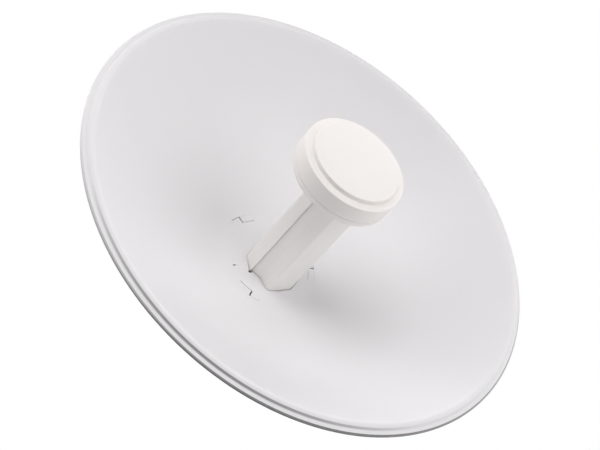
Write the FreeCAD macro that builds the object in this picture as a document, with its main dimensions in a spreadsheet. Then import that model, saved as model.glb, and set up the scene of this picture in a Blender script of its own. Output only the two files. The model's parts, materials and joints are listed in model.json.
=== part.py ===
import FreeCAD, Part
import math
import os
import Sketcher
from FreeCAD import Placement, Rotation, Vector

# Point-to-point dish antenna. The pole it clamps to runs along Z through the origin, the dish looks
# along -Y, and X is to the right of someone who looks into the dish. "Ahead" is a distance in front
# of the pole's axis, so it is -Y. All sizes are in millimetres and degrees.
DIMENSIONS = {
    # Reflector: a parabola with a flat seat at its centre, a rounded crest and a folded rim.
    "rim_radius": 210.0,
    "rim_ahead": 172.5,
    "rim_fold_width": 1.4,
    "rim_flange_inner": 205.7,
    "rim_flange_lift": 1.85,
    "crest_radius": 201.6,
    "crest_lift": 5.1,
    "crest_inner": 199.0,
    "crest_outer": 204.0,
    "crest_side_drop": 0.9,
    "seat_ahead": 86.5,
    "seat_blend_radius": 55.0,
    "focal_length": 103.0,
    "sheet": 1.6,
    # Feed tube: a cover above, a tray below, and a channel along each side between them.
    "crown_x": 10.0,
    "crown_z": 16.6,
    "shoulder_x": 15.2,
    "shoulder_z": 15.2,
    "cover_x": 24.4,
    "split_z": 4.8,
    "channel_x": 22.6,
    "channel_z": -5.2,
    "flank_x": 28.2,
    "flank_z": -17.0,
    "facet_x": 19.1,
    "facet_z": -24.9,
    "keel_x": 7.9,
    "keel_z": -32.0,
    "shell_wall": 2.0,
    "tail_ahead": 50.0,
    "tail_cap_depth": 2.0,
    "tail_screw_x": 9.0,
    "tail_screw_high_z": 12.0,
    "tail_screw_low_z": -27.5,
    "tail_boss_radius": 3.0,
    "tail_boss_depth": 10.0,
    "tail_screw_radius": 1.3,
    "tail_screw_head": 2.4,
    "tail_screw_rise": 1.2,
    "hole_gap": 0.6,
    "latch_groove_half": 2.5,
    "latch_groove_floor": 15.4,
    "latch_groove_end": 71.0,
    # Drum at the front of the feed, on the dish's axis.
    "drum_radius": 46.3,
    "drum_ahead": 211.2,
    "drum_edge": 1.2,
    "drum_wall": 2.1,
    "seam_ahead": 217.7,
    "seam_gap": 0.6,
    "ring_ahead": 234.3,
    "disc_radius": 39.2,
    "disc_ahead": 238.4,
    "disc_edge": 0.9,
    "spigot_radius": 44.0,
    "spigot_ahead": 222.0,
    "seal_inner": 43.0,
    "seal_ahead": 219.0,
    "seal_width": 1.4,
    "launch_hole": 15.0,
    "drum_boss_pitch": 35.0,
    "drum_boss_radius": 3.4,
    "drum_screw_radius": 1.45,
    "drum_screw_head": 2.6,
    "drum_screw_sink": 1.3,
    "drum_screw_ahead": 226.0,
    "splash_radius": 31.0,
    "splash_ahead": 235.2,
    "splash_cone": 6.0,
    # Electronics on the feed.
    "board_half": 19.5,
    "board_z": -8.0,
    "board_thick": 1.6,
    "board_front": 204.0,
    "board_rear": 52.0,
    "rail_x": 17.0,
    "rail_depth": 1.5,
    "board_screw_x": 17.9,
    "board_screw_rear": 80.0,
    "board_screw_front": 196.0,
    "board_screw_radius": 1.0,
    "board_screw_head": 1.9,
    "can_half": 14.0,
    "can_rear": 120.0,
    "can_front": 172.0,
    "can_rise": 5.2,
    "can_sheet": 0.4,
    "pad_half": 13.0,
    "pad_thick": 0.6,
    "spreader_half": 15.0,
    "spreader_rear": 100.0,
    "spreader_front": 190.0,
    "spreader_thick": 2.6,
    "launcher_half": 13.0,
    "launcher_rear": 205.0,
    "launcher_front": 231.0,
    "copper_thick": 0.2,
    "arm_gap": 1.0,
    "arm_rear": 223.0,
    "arm_front": 227.0,
    "jack_half": 8.0,
    "jack_rear": 60.5,
    "jack_front": 74.0,
    "jack_mouth_z": -31.5,
    "socket_half": 5.9,
    "socket_rear": 63.0,
    "socket_front": 71.5,
    "socket_roof_z": -12.0,
    "clip_half": 3.2,
    "clip_front": 73.0,
    "light_ahead": 57.6,
    "light_pitch": 4.0,
    "light_radius": 1.0,
    "light_top_z": -24.0,
    "reset_ahead": 53.6,
    "reset_radius": 1.8,
    "reset_stem_radius": 0.9,
    "reset_collar_radius": 2.6,
    "reset_stem_top_z": -8.7,
    "small_gap": 0.3,
    # Rear housing behind the dish: a hub and its back cover, joined to the dish by three hooks.
    "sheet_back_ahead": 84.9,
    "housing_radius": 48.0,
    "housing_half": 36.5,
    "housing_wall": 2.5,
    "hub_flange_radius": 50.0,
    "cover_joint_ahead": 50.0,
    "housing_rear": 42.5,
    "cover_chamfer": 1.5,
    "joint_gap": 0.2,
    "cover_screw_x": 29.5,
    "cover_screw_z": 32.0,
    "cover_screw_radius": 1.5,
    "cover_screw_head": 2.9,
    "cover_screw_sink": 1.8,
    "cover_screw_ahead": 60.0,
    "cover_boss_radius": 3.2,
    "gasket_inner": 35.0,
    "gasket_outer": 39.0,
    "gasket_thick": 1.5,
    "window_inner": 41.0,
    "window_outer": 48.0,
    "window_start": 7.0,
    "window_sweep": 31.0,
    "window_lip_sweep": 12.0,
    "window_slit": 0.6,
    "window_jog": 1.2,
    "window_fit": 0.1,
    "tick_radius": 38.8,
    "tick_angle": -60.0,
    "tick_length": 3.2,
    "tick_width": 0.9,
    # Port door, release button and its spring.
    "port_half": 12.0,
    "port_rear": 54.0,
    "port_front": 79.0,
    "door_gap": 0.4,
    "cable_half": 4.4,
    "cable_front": 71.0,
    "door_grip_rear": 75.0,
    "door_grip_front": 77.0,
    "door_grip_half": 8.0,
    "door_grip_z": -50.0,
    "button_half": 7.0,
    "button_rear": 62.4,
    "button_front": 73.6,
    "button_low_z": 44.5,
    "button_top_z": 50.5,
    "button_gap": 0.4,
    "stem_half": 2.0,
    "stem_rear": 66.0,
    "stem_front": 70.0,
    "stem_low_z": 19.0,
    "shelf_half": 8.5,
    "shelf_low_z": 33.0,
    "shelf_top_z": 35.0,
    "spring_radius": 4.2,
    "spring_wire": 0.45,
    "spring_turns": 5.0,
    # Tilt joint: pivot bolts, and lock bolts in arc slots.
    "pivot_ahead": 60.5,
    "pivot_boss_radius": 7.0,
    "lock_radius": 24.0,
    "lock_boss_radius": 5.5,
    "boss_inner_x": 27.0,
    "insert_inner_x": 28.0,
    "insert_radius": 4.2,
    "bolt_radius": 3.0,
    "bolt_tip_x": 29.0,
    "bolt_head_radius": 5.6,
    "bolt_head_depth": 4.0,
    "thread_gap": 0.03,
    "run_gap": 0.08,
    "washer_radius": 6.2,
    "washer_thick": 1.1,
    "spacer_radius": 9.0,
    "face_gap": 0.1,
    "slot_half_angle": 16.5,
    "slot_gap": 0.45,
    # Pole bracket, clamp jaw and their bolts.
    "pole_radius": 24.15,
    "bracket_half": 41.0,
    "plate": 3.0,
    "web_ahead": 29.5,
    "web_low_z": -27.5,
    "ear_top_z": 33.0,
    "ear_nose_ahead": 75.0,
    "ear_nose_low_z": -8.0,
    "ear_nose_high_z": 20.0,
    "ear_top_ahead": 70.0,
    "ear_belly_z": -15.0,
    "ear_belly_ahead": 68.0,
    "ear_root_ahead": 40.0,
    "flange_half": 30.0,
    "flange_z": 24.0,
    "flange_tip_ahead": 5.0,
    "jaw_half": 38.0,
    "jaw_half_z": 25.5,
    "clamp_bolt_x": 30.5,
    "clamp_bolt_end": 40.0,
    "clamp_head_radius": 6.3,
    "clamp_head_rise": 3.2,
    "square_neck": 5.9,
    "clamp_washer_radius": 7.2,
    "clamp_washer_thick": 1.2,
    "nut_radius": 5.6,
    "nut_depth": 5.5,
}

BORESIGHT = Rotation(Vector(0, 0, 1), Vector(-1, 0, 0), Vector(0, -1, 0), "ZXY")
ACROSS = Rotation(Vector(0, 1, 0), 90)
THROUGH = 10.0
SIDES = (-1, 1)

doc = FreeCAD.newDocument("dish_antenna")


def make_sheet():
    """Writes the driving dimensions into the spreadsheet, one alias a row."""
    sheet = doc.addObject("Spreadsheet::Sheet", "Dims")
    for row, (alias, value) in enumerate(DIMENSIONS.items(), start=1):
        sheet.set(f"A{row}", alias)
        sheet.set(f"B{row}", str(value))
        sheet.setAlias(f"B{row}", alias)
    doc.recompute()
    return sheet


SHEET = make_sheet()


def value(alias):
    """The number that the sheet holds for this alias."""
    return float(SHEET.get(alias))


def tie(item, **formulas):
    """Binds properties of an object to formulas over the sheet, in which d. stands for Dims."""
    for name, formula in formulas.items():
        item.setExpression(name.replace("_at_", ".Base."), formula.replace("d.", "Dims."))


def place(item, x, y, z):
    """Binds an object's position to formulas over the sheet."""
    tie(item, Placement_at_x=x, Placement_at_y=y, Placement_at_z=z)


def block(name, x, ahead, z):
    """A box between pairs of formulas for X, for the distance ahead and for Z."""
    item = doc.addObject("Part::Box", name)
    tie(item, Length=f"({x[1]}) - ({x[0]})")
    tie(item, Width=f"({ahead[1]}) - ({ahead[0]})")
    tie(item, Height=f"({z[1]}) - ({z[0]})")
    place(item, x[0], f"-({ahead[1]})", z[0])
    return item


def centred(name, half, ahead, z):
    """A box as wide to the left as to the right."""
    return block(name, (f"-({half})", half), ahead, z)


def rod(name, radius, span, x="0", z="0"):
    """A cylinder along the dish's axis, over a span ahead of the pole."""
    item = doc.addObject("Part::Cylinder", name)
    item.Placement = Placement(Vector(), BORESIGHT)
    tie(item, Radius=radius, Height=f"({span[1]}) - ({span[0]})")
    place(item, x, f"-({span[0]})", z)
    return item


def cross_rod(name, radius, span, ahead, z):
    """A cylinder along X, over a span of X."""
    item = doc.addObject("Part::Cylinder", name)
    item.Placement = Placement(Vector(), ACROSS)
    tie(item, Radius=radius, Height=f"({span[1]}) - ({span[0]})")
    place(item, span[0], f"-({ahead})", z)
    return item


def post(name, radius, span, x, ahead):
    """A cylinder along Z, over a span of Z."""
    item = doc.addObject("Part::Cylinder", name)
    tie(item, Radius=radius, Height=f"({span[1]}) - ({span[0]})")
    place(item, x, f"-({ahead})", span[0])
    return item


def hexagon(name, radius, depth, turn):
    """A hexagonal bar, turned from Z to the way it points."""
    item = doc.addObject("Part::Prism", name)
    item.Polygon = 6
    item.Placement = Placement(Vector(), turn)
    tie(item, Circumradius=radius, Height=depth)
    return item


def side_span(side, inner, outer):
    """A span of X on the left or the right, from two distances to the middle plane."""
    if side > 0:
        return inner, outer
    return f"-({outer})", f"-({inner})"


def cut(name, base, *tools):
    """The base with every tool taken out of it."""
    for index, tool in enumerate(tools):
        item = doc.addObject("Part::Cut", f"{name}_cut{index}")
        item.Base = base
        item.Tool = tool
        base = item
    return labelled(base, name)


def fuse(name, *pieces):
    """Pieces joined into one object, or kept side by side where they don't touch."""
    item = doc.addObject("Part::MultiFuse", f"{name}_fuse")
    item.Shapes = list(pieces)
    return labelled(item, name)


def common(name, first, second):
    """What two objects share."""
    item = doc.addObject("Part::Common", f"{name}_common")
    item.Base = first
    item.Tool = second
    return labelled(item, name)


def labelled(item, name):
    item.Label = name
    return item


def outline_sketch(body, name, role, points, offset="0"):
    """A closed outline through points, each a pair of formulas, on one of the body's planes."""
    sketch = body.newObject("Sketcher::SketchObject", f"{name}_outline")
    plane = [item for item in body.Origin.OriginFeatures if item.Role == role][0]
    sketch.AttachmentSupport = [(plane, "")]
    sketch.MapMode = "FlatFace"
    tie(sketch, AttachmentOffset_at_z=offset)
    count = len(points)
    for index in range(count):
        angle = 2 * math.pi * index / count
        after = 2 * math.pi * (index + 1) / count
        start = Vector(math.cos(angle), math.sin(angle), 0)
        end = Vector(math.cos(after), math.sin(after), 0)
        sketch.addGeometry(Part.LineSegment(start, end), False)
    for index in range(count):
        sketch.addConstraint(Sketcher.Constraint("Coincident", index, 2, (index + 1) % count, 1))
    for index, point in enumerate(points):
        for kind, letter, formula in zip(("DistanceX", "DistanceY"), "xy", point):
            number = sketch.addConstraint(Sketcher.Constraint(kind, index, 1, 1.0))
            sketch.renameConstraint(number, f"{letter}{index}")
            tie(sketch, **{f"Constraints.{letter}{index}": formula})
    return sketch


def pad(name, role, points, start, length):
    """A body with one outline, extruded from an offset along the plane's normal."""
    body = doc.addObject("PartDesign::Body", f"{name}_body")
    sketch = outline_sketch(body, name, role, points, start)
    feature = body.newObject("PartDesign::Pad", f"{name}_pad")
    feature.Profile = sketch
    tie(feature, Length=length)
    return labelled(body, name)


def turned(name, points):
    """A body turned about the dish's axis, from points that are (radius, ahead)."""
    body = doc.addObject("PartDesign::Body", f"{name}_body")
    flat = [(radius, f"-({ahead})") for radius, ahead in points]
    sketch = outline_sketch(body, name, "XY_Plane", flat)
    feature = body.newObject("PartDesign::Revolution", f"{name}_turn")
    feature.Profile = sketch
    feature.ReferenceAxis = (sketch, ["V_Axis"])
    feature.Angle = 360
    return labelled(body, name)


def ring(name, inner, outer, span):
    """A flat ring about the dish's axis."""
    low, high = span
    return turned(name, [(inner, low), (outer, low), (outer, high), (inner, high)])


def sector(name, inner, outer, start, sweep, span):
    """A piece of a ring, from a clock angle that runs from +Z towards +X."""
    wedge = doc.addObject("Part::Cylinder", f"{name}_wedge")
    turn = BORESIGHT.multiply(Rotation(Vector(0, 0, 1), -start - sweep))
    wedge.Placement = Placement(Vector(), turn)
    wedge.Angle = sweep
    tie(wedge, Radius=outer, Height=f"({span[1]}) - ({span[0]})")
    place(wedge, "0", f"-({span[0]})", "0")
    core = rod(f"{name}_core", inner, span)
    return cut(name, wedge, core)


def mirrored(points):
    """A right-hand chain of points, closed by its mirror image on the left."""
    return points + [(f"-({x})", z) for x, z in reversed(points)]


def tube_section(gap):
    """The feed tube's whole outline, pushed out by a gap."""
    return mirrored([
        ("d.crown_x", f"d.crown_z + {gap}"),
        (f"d.shoulder_x + {gap}", f"d.shoulder_z + {gap}"),
        (f"d.cover_x + 2 * {gap}", f"d.split_z - {gap}"),
        (f"d.channel_x + {gap}", f"d.split_z - {gap}"),
        (f"d.channel_x + {gap}", "d.channel_z"),
        (f"d.flank_x + {gap}", "d.flank_z"),
        (f"d.facet_x + {gap}", f"d.facet_z - {gap}"),
        ("d.keel_x", f"d.keel_z - {gap}"),
    ])


def hollowed(body, wall, *directions):
    """Hollows a body to a wall, leaving it open on the faces that look in these directions."""
    doc.recompute()
    solid = body.Tip
    names = []
    for index, face in enumerate(solid.Shape.Faces, start=1):
        normal = face.normalAt(0, 0)
        if any(normal.isEqual(direction, 1e-4) for direction in directions):
            names.append(f"Face{index}")
    feature = body.newObject("PartDesign::Thickness", f"{body.Label}_hollow")
    feature.Base = (solid, names)
    feature.Reversed = True
    tie(feature, Value=wall)
    return body


# Reflector

def skin_edges(shift):
    """The reflector's section from its axis to the crest, moved back by a shift."""
    seat = value("seat_ahead") - shift
    focal = value("focal_length")
    inner = value("crest_inner")
    blend = value("seat_blend_radius")
    crest_start = value("rim_ahead") + value("crest_lift") - value("crest_side_drop") - shift
    vertex = crest_start - inner ** 2 / (4 * focal)
    blend_ahead = vertex + blend ** 2 / (4 * focal)
    slope = math.atan(blend / (2 * focal))
    radius = (blend_ahead - seat) / (1 - math.cos(slope))
    centre = blend - radius * math.sin(slope)
    middle_x = centre + radius * math.sin(slope / 2)
    middle_ahead = seat + radius * (1 - math.cos(slope / 2))
    start = Vector(centre, -seat, 0)
    end = Vector(blend, -blend_ahead, 0)
    # A curve of second degree is exactly a parabola: its middle pole is where the end tangents meet.
    pole = Vector((blend + inner) / 2, -vertex - blend * inner / (4 * focal), 0)
    parabola = Part.BezierCurve()
    parabola.setPoles([end, pole, Vector(inner, -crest_start, 0)])
    return [
        Part.LineSegment(Vector(0, -seat, 0), start).toShape(),
        Part.Arc(start, Vector(middle_x, -middle_ahead, 0), end).toShape(),
        parabola.toShape(),
    ]


def rim_edges():
    """The section from the crest's inner side, over the rim's fold, to the skin's back."""
    rim = value("rim_ahead")
    sheet = value("sheet")
    crest = rim + value("crest_lift")
    side = crest - value("crest_side_drop")
    flange = rim + value("rim_flange_lift")
    fold = value("rim_fold_width")
    inner = value("crest_inner")
    top = value("crest_radius")
    outer = value("crest_outer")
    foot = value("rim_flange_inner")
    edge = value("rim_radius")
    front = [
        Vector(outer, -side, 0),
        Vector(foot, -flange, 0),
        Vector(edge - fold / 2, -flange, 0),
        Vector(edge, -flange + fold / 2, 0),
        Vector(edge, -rim, 0),
        Vector(edge - fold, -rim, 0),
        Vector(edge - fold, -flange + fold, 0),
        Vector(foot - fold / 2, -flange + fold, 0),
        Vector(outer - fold, -side + sheet, 0),
    ]
    edges = [Part.Arc(Vector(inner, -side, 0), Vector(top, -crest, 0), front[0]).toShape()]
    edges += [Part.LineSegment(a, b).toShape() for a, b in zip(front, front[1:])]
    under = Vector((inner + outer - fold) / 2, -crest + sheet, 0)
    edges.append(Part.Arc(front[-1], under, Vector(inner, -side + sheet, 0)).toShape())
    return edges


def dish_reflector():
    sheet = value("sheet")
    axis_edge = Part.LineSegment(
        Vector(0, -value("seat_ahead"), 0), Vector(0, -value("seat_ahead") + sheet, 0)
    ).toShape()
    edges = skin_edges(0) + rim_edges() + skin_edges(sheet) + [axis_edge]
    profile = Part.Face(Part.Wire(Part.__sortEdges__(edges)))
    blank = doc.addObject("Part::Feature", "dish_blank")
    blank.Shape = profile.revolve(Vector(0, 0, 0), Vector(0, 1, 0), 360)
    through = ("d.sheet_back_ahead - 5", "d.seat_ahead + 5")
    tools = [pad("dish_hole", "XZ_Plane", tube_section("d.hole_gap"), through[0], "10")]
    for index in range(3):
        start = value("window_start") + 120 * index
        sweep = value("window_sweep")
        name = f"dish_window{index}"
        tools.append(sector(name, "d.window_inner", "d.window_outer", start, sweep, through))
    tools.append(tick_mark())
    return cut("dish_reflector", blank, *tools)


def tick_mark():
    """A short slot that shows which way the dish turns to lock."""
    half = "d.tick_length / 2"
    mark = doc.addObject("Part::Box", "tick_mark")
    angle = value("tick_angle")
    turn = Rotation(Vector(0, 1, 0), angle)
    tie(mark, Length="d.tick_width", Width="10", Height="d.tick_length")
    mark.Placement = Placement(Vector(), turn)
    sine = math.sin(math.radians(angle))
    cosine = math.cos(math.radians(angle))
    reach = f"(d.tick_radius - {half})"
    place(mark, f"{reach} * {sine}", "-d.seat_ahead - 5", f"{reach} * {cosine}")
    return mark


# Feed tube and drum

def feed_cover():
    points = mirrored([
        ("d.crown_x", "d.crown_z"),
        ("d.shoulder_x", "d.shoulder_z"),
        ("d.cover_x", "d.split_z"),
    ])
    blank = pad("cover_blank", "XZ_Plane", points, "d.tail_ahead", "d.drum_ahead - d.tail_ahead")
    hollowed(blank, "d.shell_wall", Vector(0, 1, 0), Vector(0, -1, 0), Vector(0, 0, -1))
    bosses = [tail_boss(f"cover_boss{side}", side, "d.tail_screw_high_z") for side in SIDES]
    groove = centred(
        "latch_groove",
        "d.latch_groove_half",
        ("d.tail_ahead - 1", "d.latch_groove_end"),
        ("d.latch_groove_floor", "d.crown_z + 1"),
    )
    pilots = [tail_pilot(f"cover_pilot{side}", side, "d.tail_screw_high_z") for side in SIDES]
    return cut("feed_cover", fuse("cover_solid", blank, *bosses), groove, *pilots)


def tail_boss(name, side, z):
    span = ("d.tail_ahead", "d.tail_ahead + d.tail_boss_depth")
    return rod(name, "d.tail_boss_radius", span, f"{side} * d.tail_screw_x", z)


def tail_pilot(name, side, z):
    span = ("d.tail_ahead - 5", "d.tail_ahead + d.tail_boss_depth")
    return rod(name, "d.tail_screw_radius + d.thread_gap", span, f"{side} * d.tail_screw_x", z)


def feed_tray():
    points = mirrored([
        ("d.channel_x", "d.split_z"),
        ("d.channel_x", "d.channel_z"),
        ("d.flank_x", "d.flank_z"),
        ("d.facet_x", "d.facet_z"),
        ("d.keel_x", "d.keel_z"),
    ])
    blank = pad("tray_blank", "XZ_Plane", points, "d.tail_ahead", "d.drum_ahead - d.tail_ahead")
    hollowed(blank, "d.shell_wall", Vector(0, 1, 0), Vector(0, -1, 0), Vector(0, 0, 1))
    extras = [tail_boss(f"tray_boss{side}", side, "d.tail_screw_low_z") for side in SIDES]
    for side in SIDES:
        span = side_span(side, "d.rail_x", "d.channel_x + 0.4")
        rise = ("d.board_z - d.rail_depth", "d.board_z")
        extras.append(block(f"board_rail{side}", span, ("d.board_rear", "d.board_front"), rise))
    tools = [tail_pilot(f"tray_pilot{side}", side, "d.tail_screw_low_z") for side in SIDES]
    mouth = ("d.jack_rear - d.joint_gap", "d.jack_front + d.joint_gap")
    tools.append(centred("jack_cutout", "d.jack_half + d.joint_gap", mouth, ("d.keel_z - 1", "-25")))
    for index, light in enumerate((-1, 0, 1)):
        x = f"{light} * d.light_pitch"
        span = ("d.keel_z - 1", "-29")
        radius = "d.light_radius + d.thread_gap"
        tools.append(post(f"light_hole{index}", radius, span, x, "d.light_ahead"))
    span = ("d.keel_z - 1", "-29")
    tools.append(post("reset_hole", "d.reset_radius + d.small_gap", span, "0", "d.reset_ahead"))
    for index, (x, ahead) in enumerate(board_screw_places()):
        span = ("d.board_z - d.rail_depth - 1", "d.board_z + 1")
        radius = "d.board_screw_radius + d.thread_gap"
        tools.append(post(f"rail_pilot{index}", radius, span, x, ahead))
    return cut("feed_tray", fuse("tray_solid", blank, *extras), *tools)


def tail_cap():
    plate = pad(
        "tail_plate",
        "XZ_Plane",
        tube_section("0"),
        "d.tail_ahead - d.tail_cap_depth",
        "d.tail_cap_depth",
    )
    groove = centred(
        "tail_groove",
        "d.latch_groove_half",
        ("d.tail_ahead - 5", "d.tail_ahead + 1"),
        ("d.latch_groove_floor", "d.crown_z + 1"),
    )
    holes = []
    for side in SIDES:
        for z in ("d.tail_screw_high_z", "d.tail_screw_low_z"):
            holes.append(tail_pilot(f"tail_hole{side}{z[-6]}", side, z))
    return cut("tail_cap", plate, groove, *holes)


def tail_screws():
    pieces = []
    back = "d.tail_ahead - d.tail_cap_depth"
    for side in SIDES:
        for z in ("d.tail_screw_high_z", "d.tail_screw_low_z"):
            x = f"{side} * d.tail_screw_x"
            shank = rod("tail_shank", "d.tail_screw_radius", (back, "d.tail_ahead + 8"), x, z)
            head = rod("tail_head", "d.tail_screw_head", (f"{back} - d.tail_screw_rise", back), x, z)
            pieces += [shank, head]
    return fuse("tail_screws", *pieces)


def drum_cup():
    inner = "d.drum_radius - d.drum_wall"
    blank = turned("cup_blank", [
        ("d.launch_hole", "d.drum_ahead"),
        ("d.drum_radius - d.drum_edge", "d.drum_ahead"),
        ("d.drum_radius", "d.drum_ahead + d.drum_edge"),
        ("d.drum_radius", "d.seam_ahead"),
        ("d.spigot_radius", "d.seam_ahead"),
        ("d.spigot_radius", "d.seal_ahead"),
        ("d.seal_inner", "d.seal_ahead"),
        ("d.seal_inner", "d.seal_ahead + d.seal_width"),
        ("d.spigot_radius", "d.seal_ahead + d.seal_width"),
        ("d.spigot_radius", "d.spigot_ahead"),
        ("d.spigot_radius - d.drum_wall", "d.spigot_ahead"),
        ("d.spigot_radius - d.drum_wall", "d.drum_ahead + d.drum_wall"),
        ("d.launch_hole", "d.drum_ahead + d.drum_wall"),
    ])
    tools = []
    for index, (x, z) in enumerate(drum_screw_places()):
        sink = ("d.drum_ahead - 1", "d.drum_ahead + d.drum_screw_sink")
        tools.append(rod(f"cup_sink{index}", "d.drum_screw_head + d.joint_gap", sink, x, z))
        span = ("d.drum_ahead - 1", "d.drum_ahead + d.drum_wall + 1")
        tools.append(rod(f"cup_hole{index}", "d.drum_screw_radius + d.joint_gap", span, x, z))
    return cut("drum_cup", blank, *tools)


def drum_screw_places():
    """Four places on a circle, on the diagonals."""
    reach = f"d.drum_boss_pitch * {math.sqrt(0.5)}"
    return [(f"{x} * {reach}", f"{z} * {reach}") for x in SIDES for z in SIDES]


def radome_lid():
    back = "d.seam_ahead + d.seam_gap"
    inner = "d.drum_radius - d.drum_wall"
    disc_inner = "d.disc_radius - d.drum_wall"
    blank = turned("lid_blank", [
        ("0", "d.disc_ahead"),
        ("d.disc_radius - d.disc_edge", "d.disc_ahead"),
        ("d.disc_radius", "d.disc_ahead - d.disc_edge"),
        ("d.disc_radius", "d.ring_ahead"),
        ("d.drum_radius - d.disc_edge", "d.ring_ahead"),
        ("d.drum_radius", "d.ring_ahead - d.disc_edge"),
        ("d.drum_radius", back),
        (inner, back),
        (inner, "d.ring_ahead - d.drum_wall"),
        (disc_inner, "d.ring_ahead - d.drum_wall"),
        (disc_inner, "d.disc_ahead - d.drum_wall"),
        ("0", "d.disc_ahead - d.drum_wall"),
    ])
    bosses = []
    pilots = []
    for index, (x, z) in enumerate(drum_screw_places()):
        span = ("d.drum_ahead + d.drum_wall + d.face_gap", "d.disc_ahead - d.drum_wall + 0.5")
        bosses.append(rod(f"lid_boss{index}", "d.drum_boss_radius", span, x, z))
        depth = ("d.drum_ahead", "d.drum_screw_ahead + 1")
        pilots.append(rod(f"lid_pilot{index}", "d.drum_screw_radius + d.thread_gap", depth, x, z))
    return cut("radome_lid", fuse("lid_solid", blank, *bosses), *pilots)


def radome_seal():
    span = ("d.seal_ahead + 0.05", "d.seal_ahead + d.seal_width - 0.05")
    return ring("radome_seal", "d.seal_inner + 0.02", "d.drum_radius - d.drum_wall - 0.02", span)


def drum_screws():
    pieces = []
    for x, z in drum_screw_places():
        sink = "d.drum_ahead + d.drum_screw_sink"
        pieces.append(rod("drum_head", "d.drum_screw_head", ("d.drum_ahead", sink), x, z))
        pieces.append(rod("drum_shank", "d.drum_screw_radius", (sink, "d.drum_screw_ahead"), x, z))
    return fuse("drum_screws", *pieces)


def splash_plate():
    """The small reflector that turns the signal back towards the dish."""
    front = "d.disc_ahead - d.drum_wall - d.face_gap"
    return turned("splash_plate", [
        ("0", front),
        ("d.splash_radius", front),
        ("d.splash_radius", "d.splash_ahead"),
        ("d.splash_cone", "d.splash_ahead"),
        ("0", "d.splash_ahead - d.splash_cone / 2"),
    ])


# Electronics

def launcher_board():
    half = "d.board_thick / 2"
    span = ("d.launcher_rear", "d.launcher_front")
    return labelled(centred("launch_board", "d.launcher_half", span, (f"-({half})", half)), "launcher_board")


def dipole_arms():
    base = "d.board_thick / 2"
    arms = []
    for side in SIDES:
        span = side_span(side, "d.arm_gap", "d.launcher_half - 1")
        rise = (base, f"{base} + d.copper_thick")
        arms.append(block("dipole_arm", span, ("d.arm_rear", "d.arm_front"), rise))
    return fuse("dipole_arms", *arms)


def radio_board():
    plate = centred(
        "board_plate",
        "d.board_half",
        ("d.board_rear", "d.board_front"),
        ("d.board_z", "d.board_z + d.board_thick"),
    )
    holes = []
    for index, (x, ahead) in enumerate(board_screw_places()):
        span = ("d.board_z - 1", "d.board_z + d.board_thick + 1")
        radius = "d.board_screw_radius + d.joint_gap"
        holes.append(post(f"board_hole{index}", radius, span, x, ahead))
    return cut("radio_board", plate, *holes)


def board_screw_places():
    rows = ("d.board_screw_rear", "d.board_screw_front")
    return [(f"{side} * d.board_screw_x", ahead) for side in SIDES for ahead in rows]


def board_screws():
    top = "d.board_z + d.board_thick"
    pieces = []
    for x, ahead in board_screw_places():
        shank = ("d.board_z - d.rail_depth + 0.1", top)
        pieces.append(post("board_shank", "d.board_screw_radius", shank, x, ahead))
        pieces.append(post("board_head", "d.board_screw_head", (top, f"{top} + 1.2"), x, ahead))
    return fuse("board_screws", *pieces)


def shield_can():
    top = "d.board_z + d.board_thick"
    outer = centred("can_outer", "d.can_half", ("d.can_rear", "d.can_front"), (top, f"{top} + d.can_rise"))
    inner = centred(
        "can_inner",
        "d.can_half - d.can_sheet",
        ("d.can_rear + d.can_sheet", "d.can_front - d.can_sheet"),
        (f"{top} - 1", f"{top} + d.can_rise - d.can_sheet"),
    )
    return cut("shield_can", outer, inner)


def thermal_pad():
    span = ("d.can_rear", "d.can_front")
    rise = ("d.board_z - d.pad_thick", "d.board_z")
    return labelled(centred("pad_block", "d.pad_half", span, rise), "thermal_pad")


def heat_spreader():
    top = "d.board_z - d.pad_thick"
    span = ("d.spreader_rear", "d.spreader_front")
    rise = (f"{top} - d.spreader_thick", top)
    return labelled(centred("spreader_block", "d.spreader_half", span, rise), "heat_spreader")


def ethernet_jack():
    body = centred(
        "jack_body",
        "d.jack_half",
        ("d.jack_rear", "d.jack_front"),
        ("d.jack_mouth_z", "d.board_z"),
    )
    depth = ("d.jack_mouth_z - 1", "d.socket_roof_z")
    socket = centred("jack_socket", "d.socket_half", ("d.socket_rear", "d.socket_front"), depth)
    clip = centred("jack_clip", "d.clip_half", ("d.socket_rear", "d.clip_front"), depth)
    return cut("ethernet_jack", body, socket, clip)


def status_lights():
    span = ("d.keel_z", "d.light_top_z")
    pieces = []
    for light in (-1, 0, 1):
        x = f"{light} * d.light_pitch"
        pieces.append(post("light_pipe", "d.light_radius", span, x, "d.light_ahead"))
    return fuse("status_lights", *pieces)


def reset_button():
    wall = "d.keel_z + d.shell_wall"
    cap = post("reset_cap", "d.reset_radius", ("d.keel_z", f"{wall} + 1"), "0", "d.reset_ahead")
    collar_span = (f"{wall} + d.face_gap", f"{wall} + 1")
    collar = post("reset_collar", "d.reset_collar_radius", collar_span, "0", "d.reset_ahead")
    stem = post("reset_stem", "d.reset_stem_radius", (wall, "d.reset_stem_top_z"), "0", "d.reset_ahead")
    return fuse("reset_button", cap, collar, stem)


# Rear housing

def rounded_slab(name, radius, half, span):
    """A round bar with a flat on its left and on its right."""
    return common(name, rod(f"{name}_bar", radius, span), centred(f"{name}_slab", half, span, ("-60", "60")))


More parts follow.
